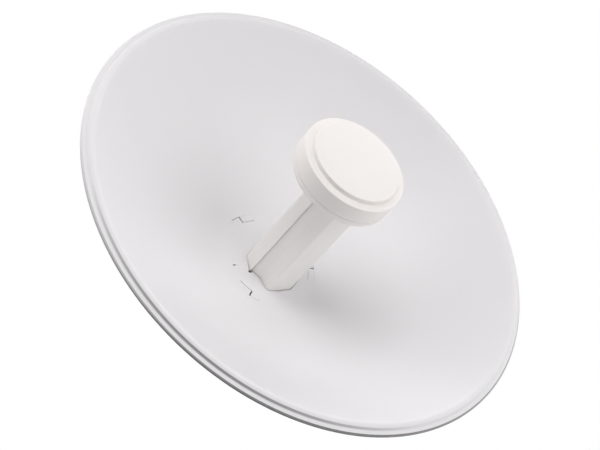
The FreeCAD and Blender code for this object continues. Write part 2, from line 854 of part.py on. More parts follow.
def rear_housing():
    front = "d.sheet_back_ahead"
    inner_span = ("d.cover_joint_ahead - 1", f"{front} - d.housing_wall")
    cavity = rounded_slab(
        "housing_cavity",
        "d.housing_radius - d.housing_wall",
        "d.housing_half - d.housing_wall",
        inner_span,
    )
    outer = rounded_slab("housing_outer", "d.housing_radius", "d.housing_half", ("d.cover_joint_ahead", front))
    flange = rod("hub_flange", "d.hub_flange_radius", (f"{front} - d.housing_wall", front))
    shell = cut("housing_shell", fuse("housing_blank", outer, flange), cavity)
    solid = fuse("housing_solid", shell, *housing_bosses(), *bayonet_hooks(), release_shelf())
    return cut("rear_housing", solid, *housing_openings())


def housing_bosses():
    bosses = []
    for side in SIDES:
        span = side_span(side, "d.boss_inner_x", "d.housing_half")
        bosses.append(cross_rod(f"pivot_boss{side}", "d.pivot_boss_radius", span, "d.pivot_ahead", "0"))
        bosses.append(
            cross_rod(f"lock_boss{side}", "d.lock_boss_radius", span, "d.pivot_ahead", "d.lock_radius")
        )
    for index, (x, z) in enumerate(cover_screw_places()):
        span = ("d.cover_joint_ahead", "d.cover_screw_ahead + 2")
        bosses.append(rod(f"cover_boss_at{index}", "d.cover_boss_radius", span, x, z))
    return bosses


def cover_screw_places():
    return [(f"{x} * d.cover_screw_x", f"{z} * d.cover_screw_z") for x in SIDES for z in SIDES]


def bayonet_hooks():
    """Three hooks that fill the dish's windows but for a narrow slit that jogs from edge to edge."""
    hooks = []
    lip = value("window_lip_sweep")
    sweep = value("window_sweep")
    margin = 0.3
    jog = math.degrees(value("window_jog") / value("window_inner"))
    span = ("d.sheet_back_ahead - 1", "d.seat_ahead")
    inner = "d.window_inner"
    outer = "d.window_outer"
    for index in range(3):
        start = value("window_start") + 120 * index
        hooks.append(sector(
            f"hook_lip{index}",
            f"{inner} + d.window_fit",
            f"{outer} - d.window_slit",
            start + margin,
            lip - margin - jog / 2,
            span,
        ))
        hooks.append(sector(
            f"hook_entry{index}",
            f"{inner} + d.window_slit",
            f"{outer} - d.window_fit",
            start + lip + jog / 2,
            sweep - lip - margin - jog / 2,
            span,
        ))
    return hooks


def release_shelf():
    """The shelf inside the housing that the release button's spring stands on."""
    span = ("d.button_rear - 2", "d.sheet_back_ahead - d.housing_wall + 0.5")
    shelf = centred("shelf_plate", "d.shelf_half", span, ("d.shelf_low_z", "d.shelf_top_z"))
    slot = centred(
        "shelf_slot",
        "d.stem_half + d.button_gap",
        ("d.stem_rear - d.button_gap", "d.stem_front + d.button_gap"),
        ("d.shelf_low_z - 1", "d.shelf_top_z + 1"),
    )
    return cut("release_shelf", shelf, slot)


def housing_openings():
    front = "d.sheet_back_ahead"
    tools = [pad("hub_hole", "XZ_Plane", tube_section("d.hole_gap"), f"{front} - 5", "10")]
    tools.append(ring("gasket_groove", "d.gasket_inner", "d.gasket_outer", (f"{front} - d.gasket_thick", front)))
    port = ("d.port_rear", "d.port_front")
    tools.append(centred("port_opening", "d.port_half", port, ("-d.hub_flange_radius - 1", "-40")))
    button = ("d.button_rear - d.button_gap", "d.button_front + d.button_gap")
    tools.append(centred("button_opening", "d.button_half + d.button_gap", button, ("40", "55")))
    for side in SIDES:
        span = side_span(side, "d.insert_inner_x", "d.housing_half + 1")
        radius = "d.insert_radius + 0.01"
        tools.append(cross_rod(f"pivot_seat{side}", radius, span, "d.pivot_ahead", "0"))
        tools.append(cross_rod(f"lock_seat{side}", radius, span, "d.pivot_ahead", "d.lock_radius"))
    for index, (x, z) in enumerate(cover_screw_places()):
        span = ("d.cover_joint_ahead - 1", "d.cover_screw_ahead + 1")
        radius = "d.cover_screw_radius + d.thread_gap"
        tools.append(rod(f"cover_pilot_at{index}", radius, span, x, z))
    return tools


def housing_gasket():
    span = ("d.sheet_back_ahead - d.gasket_thick", "d.sheet_back_ahead")
    return ring("housing_gasket", "d.gasket_inner + 0.05", "d.gasket_outer - 0.05", span)


def housing_cover():
    rear = "d.housing_rear"
    full = "d.cover_joint_ahead - d.joint_gap"
    profile = turned("cover_profile", [
        ("0", rear),
        ("d.housing_radius - d.cover_chamfer", rear),
        ("d.housing_radius", f"{rear} + d.cover_chamfer"),
        ("d.housing_radius", full),
        ("0", full),
    ])
    outer = common("cover_outer", profile, centred("cover_slab", "d.housing_half", (rear, full), ("-60", "60")))
    cavity = rounded_slab(
        "cover_cavity",
        "d.housing_radius - d.housing_wall",
        "d.housing_half - d.housing_wall",
        (f"{rear} + d.housing_wall", "d.cover_joint_ahead + 1"),
    )
    shell = cut("cover_shell", outer, cavity)
    bosses = []
    tools = []
    for index, (x, z) in enumerate(cover_screw_places()):
        bosses.append(rod(f"cover_post{index}", "d.cover_boss_radius", (rear, full), x, z))
        sink = (f"{rear} - 1", f"{rear} + d.cover_screw_sink")
        tools.append(rod(f"cover_sink{index}", "d.cover_screw_head + d.joint_gap", sink, x, z))
        span = (f"{rear} - 1", "d.cover_joint_ahead + 1")
        tools.append(rod(f"cover_hole{index}", "d.cover_screw_radius + d.joint_gap", span, x, z))
    posts = common("cover_posts", fuse("cover_post_set", *bosses), profile)
    return cut("housing_cover", fuse("cover_body", shell, posts), *tools)


def cover_screws():
    pieces = []
    sink = "d.housing_rear + d.cover_screw_sink"
    for x, z in cover_screw_places():
        pieces.append(rod("cover_head", "d.cover_screw_head", ("d.housing_rear", sink), x, z))
        pieces.append(rod("cover_shank", "d.cover_screw_radius", (sink, "d.cover_screw_ahead"), x, z))
    return fuse("cover_screws", *pieces)


def threaded_inserts():
    pieces = []
    for side in SIDES:
        span = side_span(side, "d.insert_inner_x", "d.housing_half")
        bore = side_span(side, "d.insert_inner_x - 1", "d.housing_half + 1")
        for z in ("0", "d.lock_radius"):
            sleeve = cross_rod("insert_sleeve", "d.insert_radius", span, "d.pivot_ahead", z)
            hole = cross_rod("insert_hole", "d.bolt_radius + d.thread_gap", bore, "d.pivot_ahead", z)
            pieces.append(cut("insert_piece", sleeve, hole))
    return fuse("threaded_inserts", *pieces)


def side_bolts(name, z):
    """A bolt from each side, through the bracket's ear into its insert."""
    seat = "d.bracket_half + d.face_gap + d.washer_thick"
    pieces = []
    for side in SIDES:
        span = side_span(side, "d.bolt_tip_x", seat)
        pieces.append(cross_rod(f"{name}_shank", "d.bolt_radius", span, "d.pivot_ahead", z))
        head = hexagon(f"{name}_head", "d.bolt_head_radius", "d.bolt_head_depth", ACROSS)
        head_span = side_span(side, seat, f"{seat} + d.bolt_head_depth")
        place(head, head_span[0], "-d.pivot_ahead", z)
        pieces.append(head)
    return fuse(name, *pieces)


def side_rings(name, radius, inner_x, outer_x, rows):
    """Washers or spacers on the side bolts."""
    pieces = []
    for side in SIDES:
        span = side_span(side, inner_x, outer_x)
        bore = side_span(side, f"{inner_x} - 1", f"{outer_x} + 1")
        for z in rows:
            disc = cross_rod(f"{name}_disc", radius, span, "d.pivot_ahead", z)
            hole = cross_rod(f"{name}_hole", "d.bolt_radius + d.joint_gap", bore, "d.pivot_ahead", z)
            pieces.append(cut(f"{name}_piece", disc, hole))
    return fuse(name, *pieces)


def bolt_washers():
    inner = "d.bracket_half + d.face_gap"
    outer = "d.bracket_half + d.face_gap + d.washer_thick"
    return side_rings("bolt_washers", "d.washer_radius", inner, outer, ("0", "d.lock_radius"))


def tilt_spacers():
    inner = "d.housing_half"
    outer = "d.bracket_half - d.plate - d.face_gap"
    return side_rings("tilt_spacers", "d.spacer_radius", inner, outer, ("0",))


# Release button, its spring and the port door

def release_button():
    top = centred(
        "button_pad",
        "d.button_half",
        ("d.button_rear", "d.button_front"),
        ("d.button_low_z", "d.button_top_z"),
    )
    stem = centred(
        "button_stem",
        "d.stem_half",
        ("d.stem_rear", "d.stem_front"),
        ("d.stem_low_z", "d.button_low_z"),
    )
    return fuse("release_button", top, stem)


def release_spring():
    """A coil round the button's stem, from the shelf to the button's underside."""
    wire = value("spring_wire")
    radius = value("spring_radius")
    low = value("shelf_top_z") + wire + 0.05
    high = value("button_low_z") - wire - 0.05
    rise = high - low
    path = Part.Wire(Part.makeHelix(rise / value("spring_turns"), rise, radius))
    section = Part.Wire(Part.Circle(Vector(radius, 0, 0), Vector(0, 1, 0), wire).toShape())
    spring = doc.addObject("Part::Feature", "spring_coil")
    spring.Shape = path.makePipeShell([section], True, True)
    ahead = (value("stem_rear") + value("stem_front")) / 2
    spring.Placement = Placement(Vector(0, -ahead, low), Rotation())
    return labelled(spring, "release_spring")


def port_door():
    span = ("d.port_rear + d.door_gap", "d.port_front - d.door_gap")
    shell = cut(
        "door_shell",
        rod("door_outer", "d.housing_radius", span),
        rod("door_inner", "d.housing_radius - d.housing_wall", ("d.port_rear - 1", "d.port_front + 1")),
    )
    patch = centred("door_patch", "d.port_half - d.door_gap", span, ("-60", "-40"))
    grip = centred(
        "door_grip",
        "d.door_grip_half",
        ("d.door_grip_rear", "d.door_grip_front"),
        ("d.door_grip_z", "-d.housing_radius + 2"),
    )
    notch = centred("door_notch", "d.cable_half", ("d.port_rear - 1", "d.cable_front"), ("-60", "-40"))
    return cut("port_door", fuse("door_solid", common("door_panel", shell, patch), grip), notch)


# Pole bracket and clamp

def pole_bracket():
    plate = "d.web_ahead - d.plate"
    web = centred("bracket_web", "d.bracket_half", (plate, "d.web_ahead"), ("d.web_low_z", "d.ear_top_z"))
    pieces = [web]
    tools = []
    for side in SIDES:
        ear_start = "d.bracket_half - d.plate" if side > 0 else "-d.bracket_half"
        pieces.append(pad(f"ear{side}", "YZ_Plane", ear_outline(plate), ear_start, "d.plate"))
        bore = side_span(side, "d.bracket_half - d.plate - 1", "d.bracket_half + 1")
        tools.append(cross_rod(f"ear_hole{side}", "d.bolt_radius + d.run_gap", bore, "d.pivot_ahead", "0"))
        tools += arc_slot(side, bore)
        tools.append(square_hole(side))
    for side in SIDES:
        pieces.append(pole_flange(f"bracket_flange{side}", side, "d.flange_tip_ahead", plate))
    pole = post("bracket_pole", "d.pole_radius", ("-60", "60"), "0", "0")
    return cut("pole_bracket", fuse("bracket_solid", *pieces), pole, *tools)


def ear_outline(plate):
    """The ear's outline in Y and Z, from the web forward round the pivot."""
    return [
        (f"-({plate})", "d.web_low_z"),
        (f"-({plate})", "d.ear_top_z"),
        ("-d.ear_top_ahead", "d.ear_top_z"),
        ("-d.ear_nose_ahead", "d.ear_nose_high_z"),
        ("-d.ear_nose_ahead", "d.ear_nose_low_z"),
        ("-d.ear_belly_ahead", "d.ear_belly_z"),
        ("-d.ear_root_ahead", "d.ear_belly_z"),
        ("-d.web_ahead", "d.web_low_z"),
    ]


def arc_slot(side, bore):
    """The curved slot that the lock bolt runs in, with its two round ends."""
    half_angle = value("slot_half_angle")
    half_width = "d.bolt_radius + d.slot_gap"
    wedge = doc.addObject("Part::Cylinder", "slot_wedge")
    wedge.Placement = Placement(Vector(), ACROSS.multiply(Rotation(Vector(0, 0, 1), 180 - half_angle)))
    wedge.Angle = 2 * half_angle
    tie(wedge, Radius=f"d.lock_radius + {half_width}", Height=f"({bore[1]}) - ({bore[0]})")
    place(wedge, bore[0], "-d.pivot_ahead", "0")
    core = cross_rod("slot_core", f"d.lock_radius - ({half_width})", bore, "d.pivot_ahead", "0")
    tools = [cut(f"slot_arc{side}", wedge, core)]
    for end in SIDES:
        sine = end * math.sin(math.radians(half_angle))
        cosine = math.cos(math.radians(half_angle))
        ahead = f"d.pivot_ahead + d.lock_radius * {sine}"
        tools.append(cross_rod(f"slot_end{side}", half_width, bore, ahead, f"d.lock_radius * {cosine}"))
    return tools


def square_hole(side):
    """The hole that keeps a carriage bolt's square neck from turning."""
    half = "d.square_neck / 2 + d.joint_gap / 2"
    middle = f"{side} * d.clamp_bolt_x"
    return block(
        f"square_hole{side}",
        (f"{middle} - ({half})", f"{middle} + {half}"),
        ("d.web_ahead - d.plate - 1", "d.web_ahead + 1"),
        (f"-({half})", half),
    )


def pole_flange(name, side, tip, root):
    """One of the plates that are curved to sit on the pole."""
    middle = f"{side} * d.flange_z"
    rise = (f"{middle} - d.plate / 2", f"{middle} + d.plate / 2")
    return centred(name, "d.flange_half", (tip, f"{root} + 0.5"), rise)


def clamp_jaw():
    back = "-d.web_ahead"
    face = "-d.web_ahead + d.plate"
    pieces = [centred("jaw_web", "d.jaw_half", (back, face), ("-d.jaw_half_z", "d.jaw_half_z"))]
    tools = [post("jaw_pole", "d.pole_radius", ("-60", "60"), "0", "0")]
    for side in SIDES:
        middle = f"{side} * d.flange_z"
        rise = (f"{middle} - d.plate / 2", f"{middle} + d.plate / 2")
        pieces.append(centred("jaw_flange", "d.flange_half", (f"{face} - 0.5", "-d.flange_tip_ahead"), rise))
        radius = "d.bolt_radius + d.small_gap"
        span = (f"{back} - 1", f"{face} + 1")
        tools.append(rod("jaw_hole", radius, span, f"{side} * d.clamp_bolt_x"))
    return cut("clamp_jaw", fuse("jaw_solid", *pieces), *tools)


def carriage_bolts():
    pieces = []
    for side in SIDES:
        x = f"{side} * d.clamp_bolt_x"
        pieces.append(rod("clamp_shank", "d.bolt_radius", ("-d.clamp_bolt_end", "d.web_ahead"), x))
        half = "d.square_neck / 2"
        pieces.append(block(
            "clamp_neck",
            (f"{x} - {half}", f"{x} + {half}"),
            ("d.web_ahead - d.plate", "d.web_ahead"),
            (f"-({half})", half),
        ))
        dome = doc.addObject("Part::Cone", "clamp_head")
        dome.Placement = Placement(Vector(), BORESIGHT)
        tie(dome, Radius1="d.clamp_head_radius", Radius2="d.clamp_head_radius / 2", Height="d.clamp_head_rise")
        place(dome, x, "-d.web_ahead", "0")
        pieces.append(dome)
    return fuse("carriage_bolts", *pieces)


def clamp_washers():
    pieces = []
    back = "-d.web_ahead"
    for side in SIDES:
        x = f"{side} * d.clamp_bolt_x"
        disc = rod("clamp_disc", "d.clamp_washer_radius", (f"{back} - d.clamp_washer_thick", back), x)
        hole = rod("clamp_hole", "d.bolt_radius + d.small_gap", (f"{back} - 5", f"{back} + 5"), x)
        pieces.append(cut("clamp_washer", disc, hole))
    return fuse("clamp_washers", *pieces)


def clamp_nuts():
    pieces = []
    back = "-d.web_ahead - d.clamp_washer_thick"
    for side in SIDES:
        x = f"{side} * d.clamp_bolt_x"
        nut = hexagon("clamp_hexagon", "d.nut_radius", "d.nut_depth", BORESIGHT)
        place(nut, x, f"-({back} - d.nut_depth)", "0")
        hole = rod("nut_hole", "d.bolt_radius + d.run_gap", (f"{back} - 10", f"{back} + 1"), x)
        pieces.append(cut("clamp_nut", nut, hole))
    return fuse("clamp_nuts", *pieces)


def make_parts():
    return [
        dish_reflector(),
        feed_cover(),
        feed_tray(),
        tail_cap(),
        tail_screws(),
        drum_cup(),
        radome_lid(),
        radome_seal(),
        drum_screws(),
        splash_plate(),
        launcher_board(),
        dipole_arms(),
        radio_board(),
        board_screws(),
        shield_can(),
        thermal_pad(),
        heat_spreader(),
        ethernet_jack(),
        status_lights(),
        reset_button(),
        rear_housing(),
        housing_gasket(),
        housing_cover(),
        cover_screws(),
        threaded_inserts(),
        side_bolts("pivot_bolts", "0"),
        side_bolts("lock_bolts", "d.lock_radius"),
        bolt_washers(),
        tilt_spacers(),
        release_button(),
        release_spring(),
        port_door(),
        pole_bracket(),
        clamp_jaw(),
        carriage_bolts(),
        clamp_washers(),
        clamp_nuts(),
    ]


def check(parts):
    """Stops if any object failed to build, or a sub-part isn't whole."""
    for item in doc.Objects:
        if "Invalid" in item.State or "Error" in item.State:
            raise RuntimeError(f"{item.Label} failed: {item.State}")
    for item in parts:
        shape = item.Shape
        if shape.isNull() or not shape.isValid() or not shape.Solids:
            raise RuntimeError(f"{item.Label} is not a valid solid")
        if abs(sum(solid.Volume for solid in shape.Solids) - shape.Volume) > 1e-3 * shape.Volume:
            raise RuntimeError(f"{item.Label} holds more than its solids")


def export(parts):
    os.makedirs("parts", exist_ok=True)
    for item in parts:
        item.Shape.exportStep(f"parts/{item.Label}.step")
        box = item.Shape.BoundBox
        print(f"{item.Label:18} {len(item.Shape.Solids)} solids, {item.Shape.Volume / 1000:8.2f} cm3, "
              f"X {box.XMin:.1f} to {box.XMax:.1f}, Y {box.YMin:.1f} to {box.YMax:.1f}, "
              f"Z {box.ZMin:.1f} to {box.ZMax:.1f}")


PARTS = make_parts()
doc.recompute()
check(PARTS)
export(PARTS)
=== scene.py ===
import json
import math

import bmesh
import bpy
from bpy.props import (
    FloatProperty,
    FloatVectorProperty,
    IntProperty,
    PointerProperty,
)
from mathutils import Matrix, Vector


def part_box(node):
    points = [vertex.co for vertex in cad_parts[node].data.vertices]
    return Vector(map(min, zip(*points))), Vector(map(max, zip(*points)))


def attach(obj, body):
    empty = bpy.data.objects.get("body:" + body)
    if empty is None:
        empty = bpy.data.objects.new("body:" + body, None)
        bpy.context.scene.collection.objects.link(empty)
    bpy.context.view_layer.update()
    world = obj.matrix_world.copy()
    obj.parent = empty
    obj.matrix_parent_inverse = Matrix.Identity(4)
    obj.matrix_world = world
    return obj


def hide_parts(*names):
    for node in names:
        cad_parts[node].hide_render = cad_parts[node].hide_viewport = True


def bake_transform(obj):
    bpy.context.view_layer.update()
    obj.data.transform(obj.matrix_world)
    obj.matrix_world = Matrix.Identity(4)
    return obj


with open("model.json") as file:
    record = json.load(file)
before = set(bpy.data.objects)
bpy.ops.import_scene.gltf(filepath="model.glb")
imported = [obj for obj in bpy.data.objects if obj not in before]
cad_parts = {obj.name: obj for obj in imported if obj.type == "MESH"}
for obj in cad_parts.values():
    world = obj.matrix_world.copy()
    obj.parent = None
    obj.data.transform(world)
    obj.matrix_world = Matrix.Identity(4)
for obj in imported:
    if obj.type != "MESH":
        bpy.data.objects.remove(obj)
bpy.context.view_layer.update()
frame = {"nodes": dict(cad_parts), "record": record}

bl_info = {
    "name": "Dish Antenna Looks",
    "version": (1, 0, 0),
    "blender": (4, 5, 0),
    "location": "3D View > Sidebar > Dish",
    "description": "Builds the finished surfaces of a pole-mounted dish antenna on its frame",
    "category": "Object",
}

SIDES = (-1, 1)
QUARTER_TURN = math.pi / 2
DUSTY_ROUGHNESS = 0.9

DISH_LOW, DISH_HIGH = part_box("dish_reflector")
CUP_LOW, CUP_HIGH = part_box("drum_cup")
LID_LOW, LID_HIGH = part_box("radome_lid")
ARM_LOW, ARM_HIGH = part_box("feed_cover")
TRAY_LOW, TRAY_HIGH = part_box("feed_tray")
COVER_LOW, COVER_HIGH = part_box("housing_cover")


def labelled(group):
    """Gives each of a group's settings its own name as its label."""
    for key, setting in group.__annotations__.items():
        setting.keywords["name"] = key.replace("_", " ").title()
    return group


def size(description, default):
    """A length that a user can change, in metres."""
    return FloatProperty(
        description=description, default=default, unit="LENGTH", subtype="DISTANCE", precision=5
    )


def turn(description, default):
    """An angle that a user can change, given in degrees."""
    return FloatProperty(description=description, default=math.radians(default), subtype="ANGLE")


def tint(description, default):
    """A colour that a user can change."""
    return FloatVectorProperty(
        description=description, default=default, subtype="COLOR", min=0, max=1
    )


def share(description, default, top=1.0):
    """A plain number that a user can change."""
    return FloatProperty(description=description, default=default, min=0, max=top)


def steps_round(description, default):
    """A number of steps that a user can change."""
    return IntProperty(description=description, default=default, min=24, max=512)


# Sizes and colours. "Ahead" is a distance in front of the pole's axis, so it is -Y.

@labelled
class ReflectorSizes(bpy.types.PropertyGroup):
    rim_radius: size("Outside radius of the folded rim", DISH_HIGH.x)
    crest_ahead: size("Front of the rounded crest inside the rim", -DISH_LOW.y)
    crest_inner: size("Radius where the bowl meets the crest", 0.199)
    crest_outer: size("Radius where the crest meets the step", 0.204)
    crest_drop: size("How far the crest's sides lie behind its top", 0.0009)
    step_radius: size("Radius at the foot of the step outside the crest", 0.2057)
    flange_drop: size("Distance from the crest's top back to the flange", 0.00325)
    rim_drop: size("Distance from the crest's top back to the rim's edge", 0.0051)
    fold: size("Width of the folded edge", 0.0014)
    seat_ahead: size("Front of the flat seat at the centre", 0.0865)
    blend_radius: size("Radius where the seat's blend meets the bowl", 0.055)
    focal_length: size("Focal length of the bowl's parabola", 0.103)
    sheet: size("Thickness of the pressed sheet", 0.0016)
    window_inner: size("Inner radius of the three bayonet windows", 0.04115)
    window_outer: size("Outer radius of the three bayonet windows", 0.04785)
    window_start: turn("Clock angle at which the first window starts", 7.35)
    window_sweep: turn("Angle that each window takes", 30.3)
    tick_radius: size("Outer radius of the alignment tick", 0.0388)
    tick_angle: turn("Clock angle of the alignment tick", -60)
    tick_length: size("Length of the alignment tick", 0.0032)
    tick_width: size("Width of the alignment tick", 0.0013)
    segments: steps_round("Steps round the reflector", 288)


@labelled
class ArmSizes(bpy.types.PropertyGroup):
    rear_ahead: size("Rear end of the arm's shells", -ARM_HIGH.y)
    front_ahead: size("Front end of the arm's shells", -ARM_LOW.y)
    crown_x: size("Half width of the flat crown", 0.010)
    crown_z: size("Height of the flat crown", ARM_HIGH.z)
    shoulder_x: size("Half width at the shoulder", 0.0152)
    shoulder_z: size("Height of the shoulder", 0.0152)
    lip_x: size("Half width of the cover at its lower lip", ARM_HIGH.x)
    split_z: size("Height where cover and tray meet", ARM_LOW.z)
    channel_x: size("Half width at the side channel", 0.0226)
    channel_z: size("Lower end of the side channel", -0.0052)
    flank_x: size("Half width at the widest point of the tray", TRAY_HIGH.x)
    flank_z: size("Height of the widest point of the tray", -0.017)
    facet_x: size("Half width at the lower facet", 0.0191)
    facet_z: size("Height of the lower facet", -0.0249)
    keel_x: size("Half width of the flat keel", 0.0079)
    keel_z: size("Height of the flat keel", TRAY_LOW.z)
    wall: size("Wall of the two shells", 0.002)
    corner: size("Rounding of the arm's long edges", 0.0021)
    hole_gap: size("Gap between the tray and the reflector's hole", 0.0006)
    cover_gap: size("Gap between the cover and the reflector's hole", 0.0002)
    lip_notch: size("How far the reflector's hole reaches out at the cover's lip", 0.0030)
    draft: share("Size of the front end beside the rear end", 0.965)
    lip_groove: size("Shadow groove under the cover's lip", 0.0009)


@labelled
class DrumSizes(bpy.types.PropertyGroup):
    radius: size("Outside radius of the drum", CUP_HIGH.x)
    rear_ahead: size("Rear face of the drum", -CUP_HIGH.y)
    seam_ahead: size("Cup's edge at the seam", 0.2177)
    lid_rear_ahead: size("Lid's edge at the seam", 0.21806)
    ring_ahead: size("Front of the flat ring round the disc", 0.2343)
    disc_ahead: size("Front of the raised disc", -LID_LOW.y)
    disc_radius: size("Radius of the raised disc", 0.0392)
    wall: size("Wall of the cup and lid", 0.0021)
    spigot_radius: size("Radius of the spigot inside the lid", 0.044)
    spigot_ahead: size("Front end of the spigot", -CUP_LOW.y)
    seal_inner: size("Radius at the bottom of the seal's groove", 0.043)
    seal_ahead: size("Rear side of the seal's groove", 0.219)
    seal_width: size("Width of the seal's groove", 0.0014)
    launch_hole: size("Radius of the hole in the drum's rear wall", 0.015)
    rear_edge: size("Rounding of the drum's rear edge", 0.0032)
    ring_edge: size("Rounding of the ring's outer edge", 0.0010)
    disc_edge: size("Rounding of the disc's edge", 0.0010)
    seam_edge: size("Rounding of both edges at the seam", 0.00015)
    segments: steps_round("Steps round the drum", 160)


@labelled
class HousingSizes(bpy.types.PropertyGroup):
    edge: size("Rounding of the housing's outer edges", 0.0005)
    door_edge: size("Rounding of the port door's edges", 0.0004)
    button_edge: size("Rounding of the release button", 0.0007)
    foam: size("Thickness of the foam strips under the windows", 0.0004)
    front_ahead: size("Front of the housing's flange, on the reflector's back", 0.0849)
    contact_pitch: size("Spacing of the socket's contacts", 0.00102)


@labelled
class FastenerSizes(bpy.types.PropertyGroup):
    cover_screw_x: size("Housing cover screws, distance from the centre plane", 0.0295)
    cover_screw_z: size("Housing cover screws, distance from the axis", 0.032)
    drum_screw_pitch: size("Drum screws, distance from the axis", 0.035)
    tail_screw_x: size("Tail cap screws, distance from the centre plane", 0.009)
    tail_screw_high: size("Upper tail cap screws, height", 0.012)
    tail_screw_low: size("Lower tail cap screws, height", -0.0275)
    pivot_ahead: size("Axis of the tilt joint", 0.0605)
    lock_z: size("Height of the lock bolts over the tilt axis", 0.024)
    side_seat: size("Outer face of the side bolts' washers", 0.0422)
    bolt_radius: size("Outside radius of the threads", 0.003)
    thread_depth: size("Depth of the threads", 0.00045)
    thread_pitch: size("Distance between threads", 0.001)
    clamp_bolt_x: size("Carriage bolts, distance from the centre plane", 0.0305)
    clamp_face: size("Front of the bracket's web, under the round heads", 0.0295)
    clamp_tip: size("Rear end of the carriage bolts", -0.040)
    clamp_thread_end: size("Front end of the carriage bolts' threads", 0.008)
    shank_end: size("Inner end of the side bolts, from the centre plane", 0.029)
    plate_edge: size("Rounding of the plate's edges", 0.0004)


@labelled
class FinishColours(bpy.types.PropertyGroup):
    dish: tint("Powder coat on the reflector", (0.81, 0.795, 0.81))
    radome: tint("Drum's smooth plastic", (0.905, 0.865, 0.84))
    arm: tint("Feed arm's plastic", (0.88, 0.868, 0.845))
    housing: tint("Rear housing's plastic", (0.80, 0.785, 0.80))
    zinc: tint("Plated plate and bolts", (0.58, 0.59, 0.60))
    stainless: tint("Small screws", (0.55, 0.55, 0.54))
    rubber: tint("Seals and foam", (0.022, 0.022, 0.024))
    board: tint("Circuit board's mask", (0.012, 0.075, 0.032))
    copper: tint("Bare copper", (0.72, 0.36, 0.22))
    brass: tint("Threaded inserts and contacts", (0.72, 0.52, 0.24))
    aluminium: tint("Bare aluminium", (0.66, 0.67, 0.69))
    nylon: tint("Spacers", (0.78, 0.76, 0.69))
    jack: tint("Moulded socket", (0.012, 0.012, 0.013))
    pad: tint("Thermal pad", (0.30, 0.36, 0.44))
    pipe: tint("Light pipes", (0.74, 0.78, 0.80))
    # The next three tones are painted shade on the reflector's rim, not a change in its coat: the
    # step and the folded edge darker on the lower left, and the rim darker on its far side.
    groove: tint("Reflector's step, where the coat is thin", (0.34, 0.33, 0.335))
    fold: tint("Reflector's folded edge, where the coat ends", (0.20, 0.195, 0.20))
    far_rim: tint("Reflector's rim on its far side", (0.68, 0.665, 0.68))
    wear: tint("Bare edge where a coat has rubbed thin", (0.60, 0.60, 0.58))
    dust: tint("Fine dust on upward faces", (0.50, 0.46, 0.40))


@labelled
class StudioSettings(bpy.types.PropertyGroup):
    lens: share("Camera's focal length in millimetres", 72.0, 300)
    distance: size("Camera's distance from the point it looks at", 1.0063)
    heading: turn("Camera's turn about the vertical", -47.24)
    roll: turn("Camera's turn about its own axis", -47.56)
    slide_right: size("Aim point's shift to the right of the rim's centre", -0.0141)
    slide_up: size("Aim point's shift above the rim's centre", -0.0156)
    light_level: share("Strength of all the soft lights together", 1.0, 10)
    light_spread: turn("How wide each soft light looks from the dish", 40)
    glow: share("Surrounding light on the dish's right side", 0.17, 10)
    floor_drop: size("Height of the floor under the dish's axis", -0.70)
    floor_radius: size("Radius of the floor", 1.2)


@labelled
class DishSettings(bpy.types.PropertyGroup):
    reflector: PointerProperty(type=ReflectorSizes, description="Reflector's sizes")
    arm: PointerProperty(type=ArmSizes, description="Feed arm's sizes")
    drum: PointerProperty(type=DrumSizes, description="Drum's sizes")
    housing: PointerProperty(type=HousingSizes, description="Rear housing's sizes")
    fasteners: PointerProperty(type=FastenerSizes, description="Fasteners' sizes")
    colours: PointerProperty(type=FinishColours, description="Finish colours")
    studio: PointerProperty(type=StudioSettings, description="Camera and light")


# Soft lights round the dish: name, angle off its axis, clock angle from +Z, strength.
SOFT_LIGHTS = (
    ("front_high_light", 25, 0, 0.92),
    ("front_low_light", 25, 180, 0.70),
    ("front_left_light", 25, 290, 0.20),
    ("high_light", 50, 0, 0.47),
    ("high_left_light", 75, 330, 0.28),
    ("low_right_light", 50, 144, 0.30),
    ("low_light", 50, 180, 0.12),
    ("left_light", 60, 256, 0.20),
    ("right_light", 75, 90, 0.58),
    ("right_high_light", 75, 60, 0.47),
    ("top_light", 100, 0, 1.50),
    ("back_light", 135, 50, 1.30),
)


# Outlines

def outline(corners, steps=4, closed=True):
    """Points along an outline whose corners (x, y, reach) are rounded by a short curve."""
    points = []
    count = len(corners)
    for index, (x, y, reach) in enumerate(corners):
        corner = Vector((x, y))
        if reach <= 0 or (not closed and index in (0, count - 1)):
            points.append((x, y))
            continue
        before = Vector(corners[index - 1][:2]) - corner
        after = Vector(corners[(index + 1) % count][:2]) - corner
        limit = 0.48 * min(before.length, after.length)
        start = corner + before.normalized() * min(reach, limit)
        end = corner + after.normalized() * min(reach, limit)
        for step in range(steps + 1):
            t = step / steps
            point = start * (1 - t) ** 2 + corner * (2 * t * (1 - t)) + end * t ** 2
            points.append((point.x, point.y))
    return points


def mirrored(corners):
    """A right-hand chain of corners, continued by its mirror image on the left."""
    return corners + [(-corner[0], *corner[1:]) for corner in reversed(corners)]


def circle(x, y, radius, count=32):
    """Points of a round hole's outline."""
    angles = [2 * math.pi * index / count for index in range(count)]
    return [(x + radius * math.cos(angle), y + radius * math.sin(angle)) for angle in angles]


def box_outline(x0, x1, y0, y1, reach=0.0, steps=4):
    """Points of a rectangle with rounded corners."""
    return outline([(x0, y0, reach), (x1, y0, reach), (x1, y1, reach), (x0, y1, reach)], steps)


def hex_outline(radius):
    """Points of a hexagon with a corner at the top."""
    angles = [QUARTER_TURN + step * math.pi / 3 for step in range(6)]
    return [(radius * math.cos(angle), radius * math.sin(angle)) for angle in angles]


def sector(inner, outer, start, sweep, steps=24):
    """Part of a ring between two radii, by clock angles from +Z towards +X."""
    angles = [start + sweep * step / steps for step in range(steps + 1)]
    points = [(inner * math.sin(angle), inner * math.cos(angle)) for angle in angles]
    return points + [(outer * math.sin(angle), outer * math.cos(angle)) for angle in angles[::-1]]


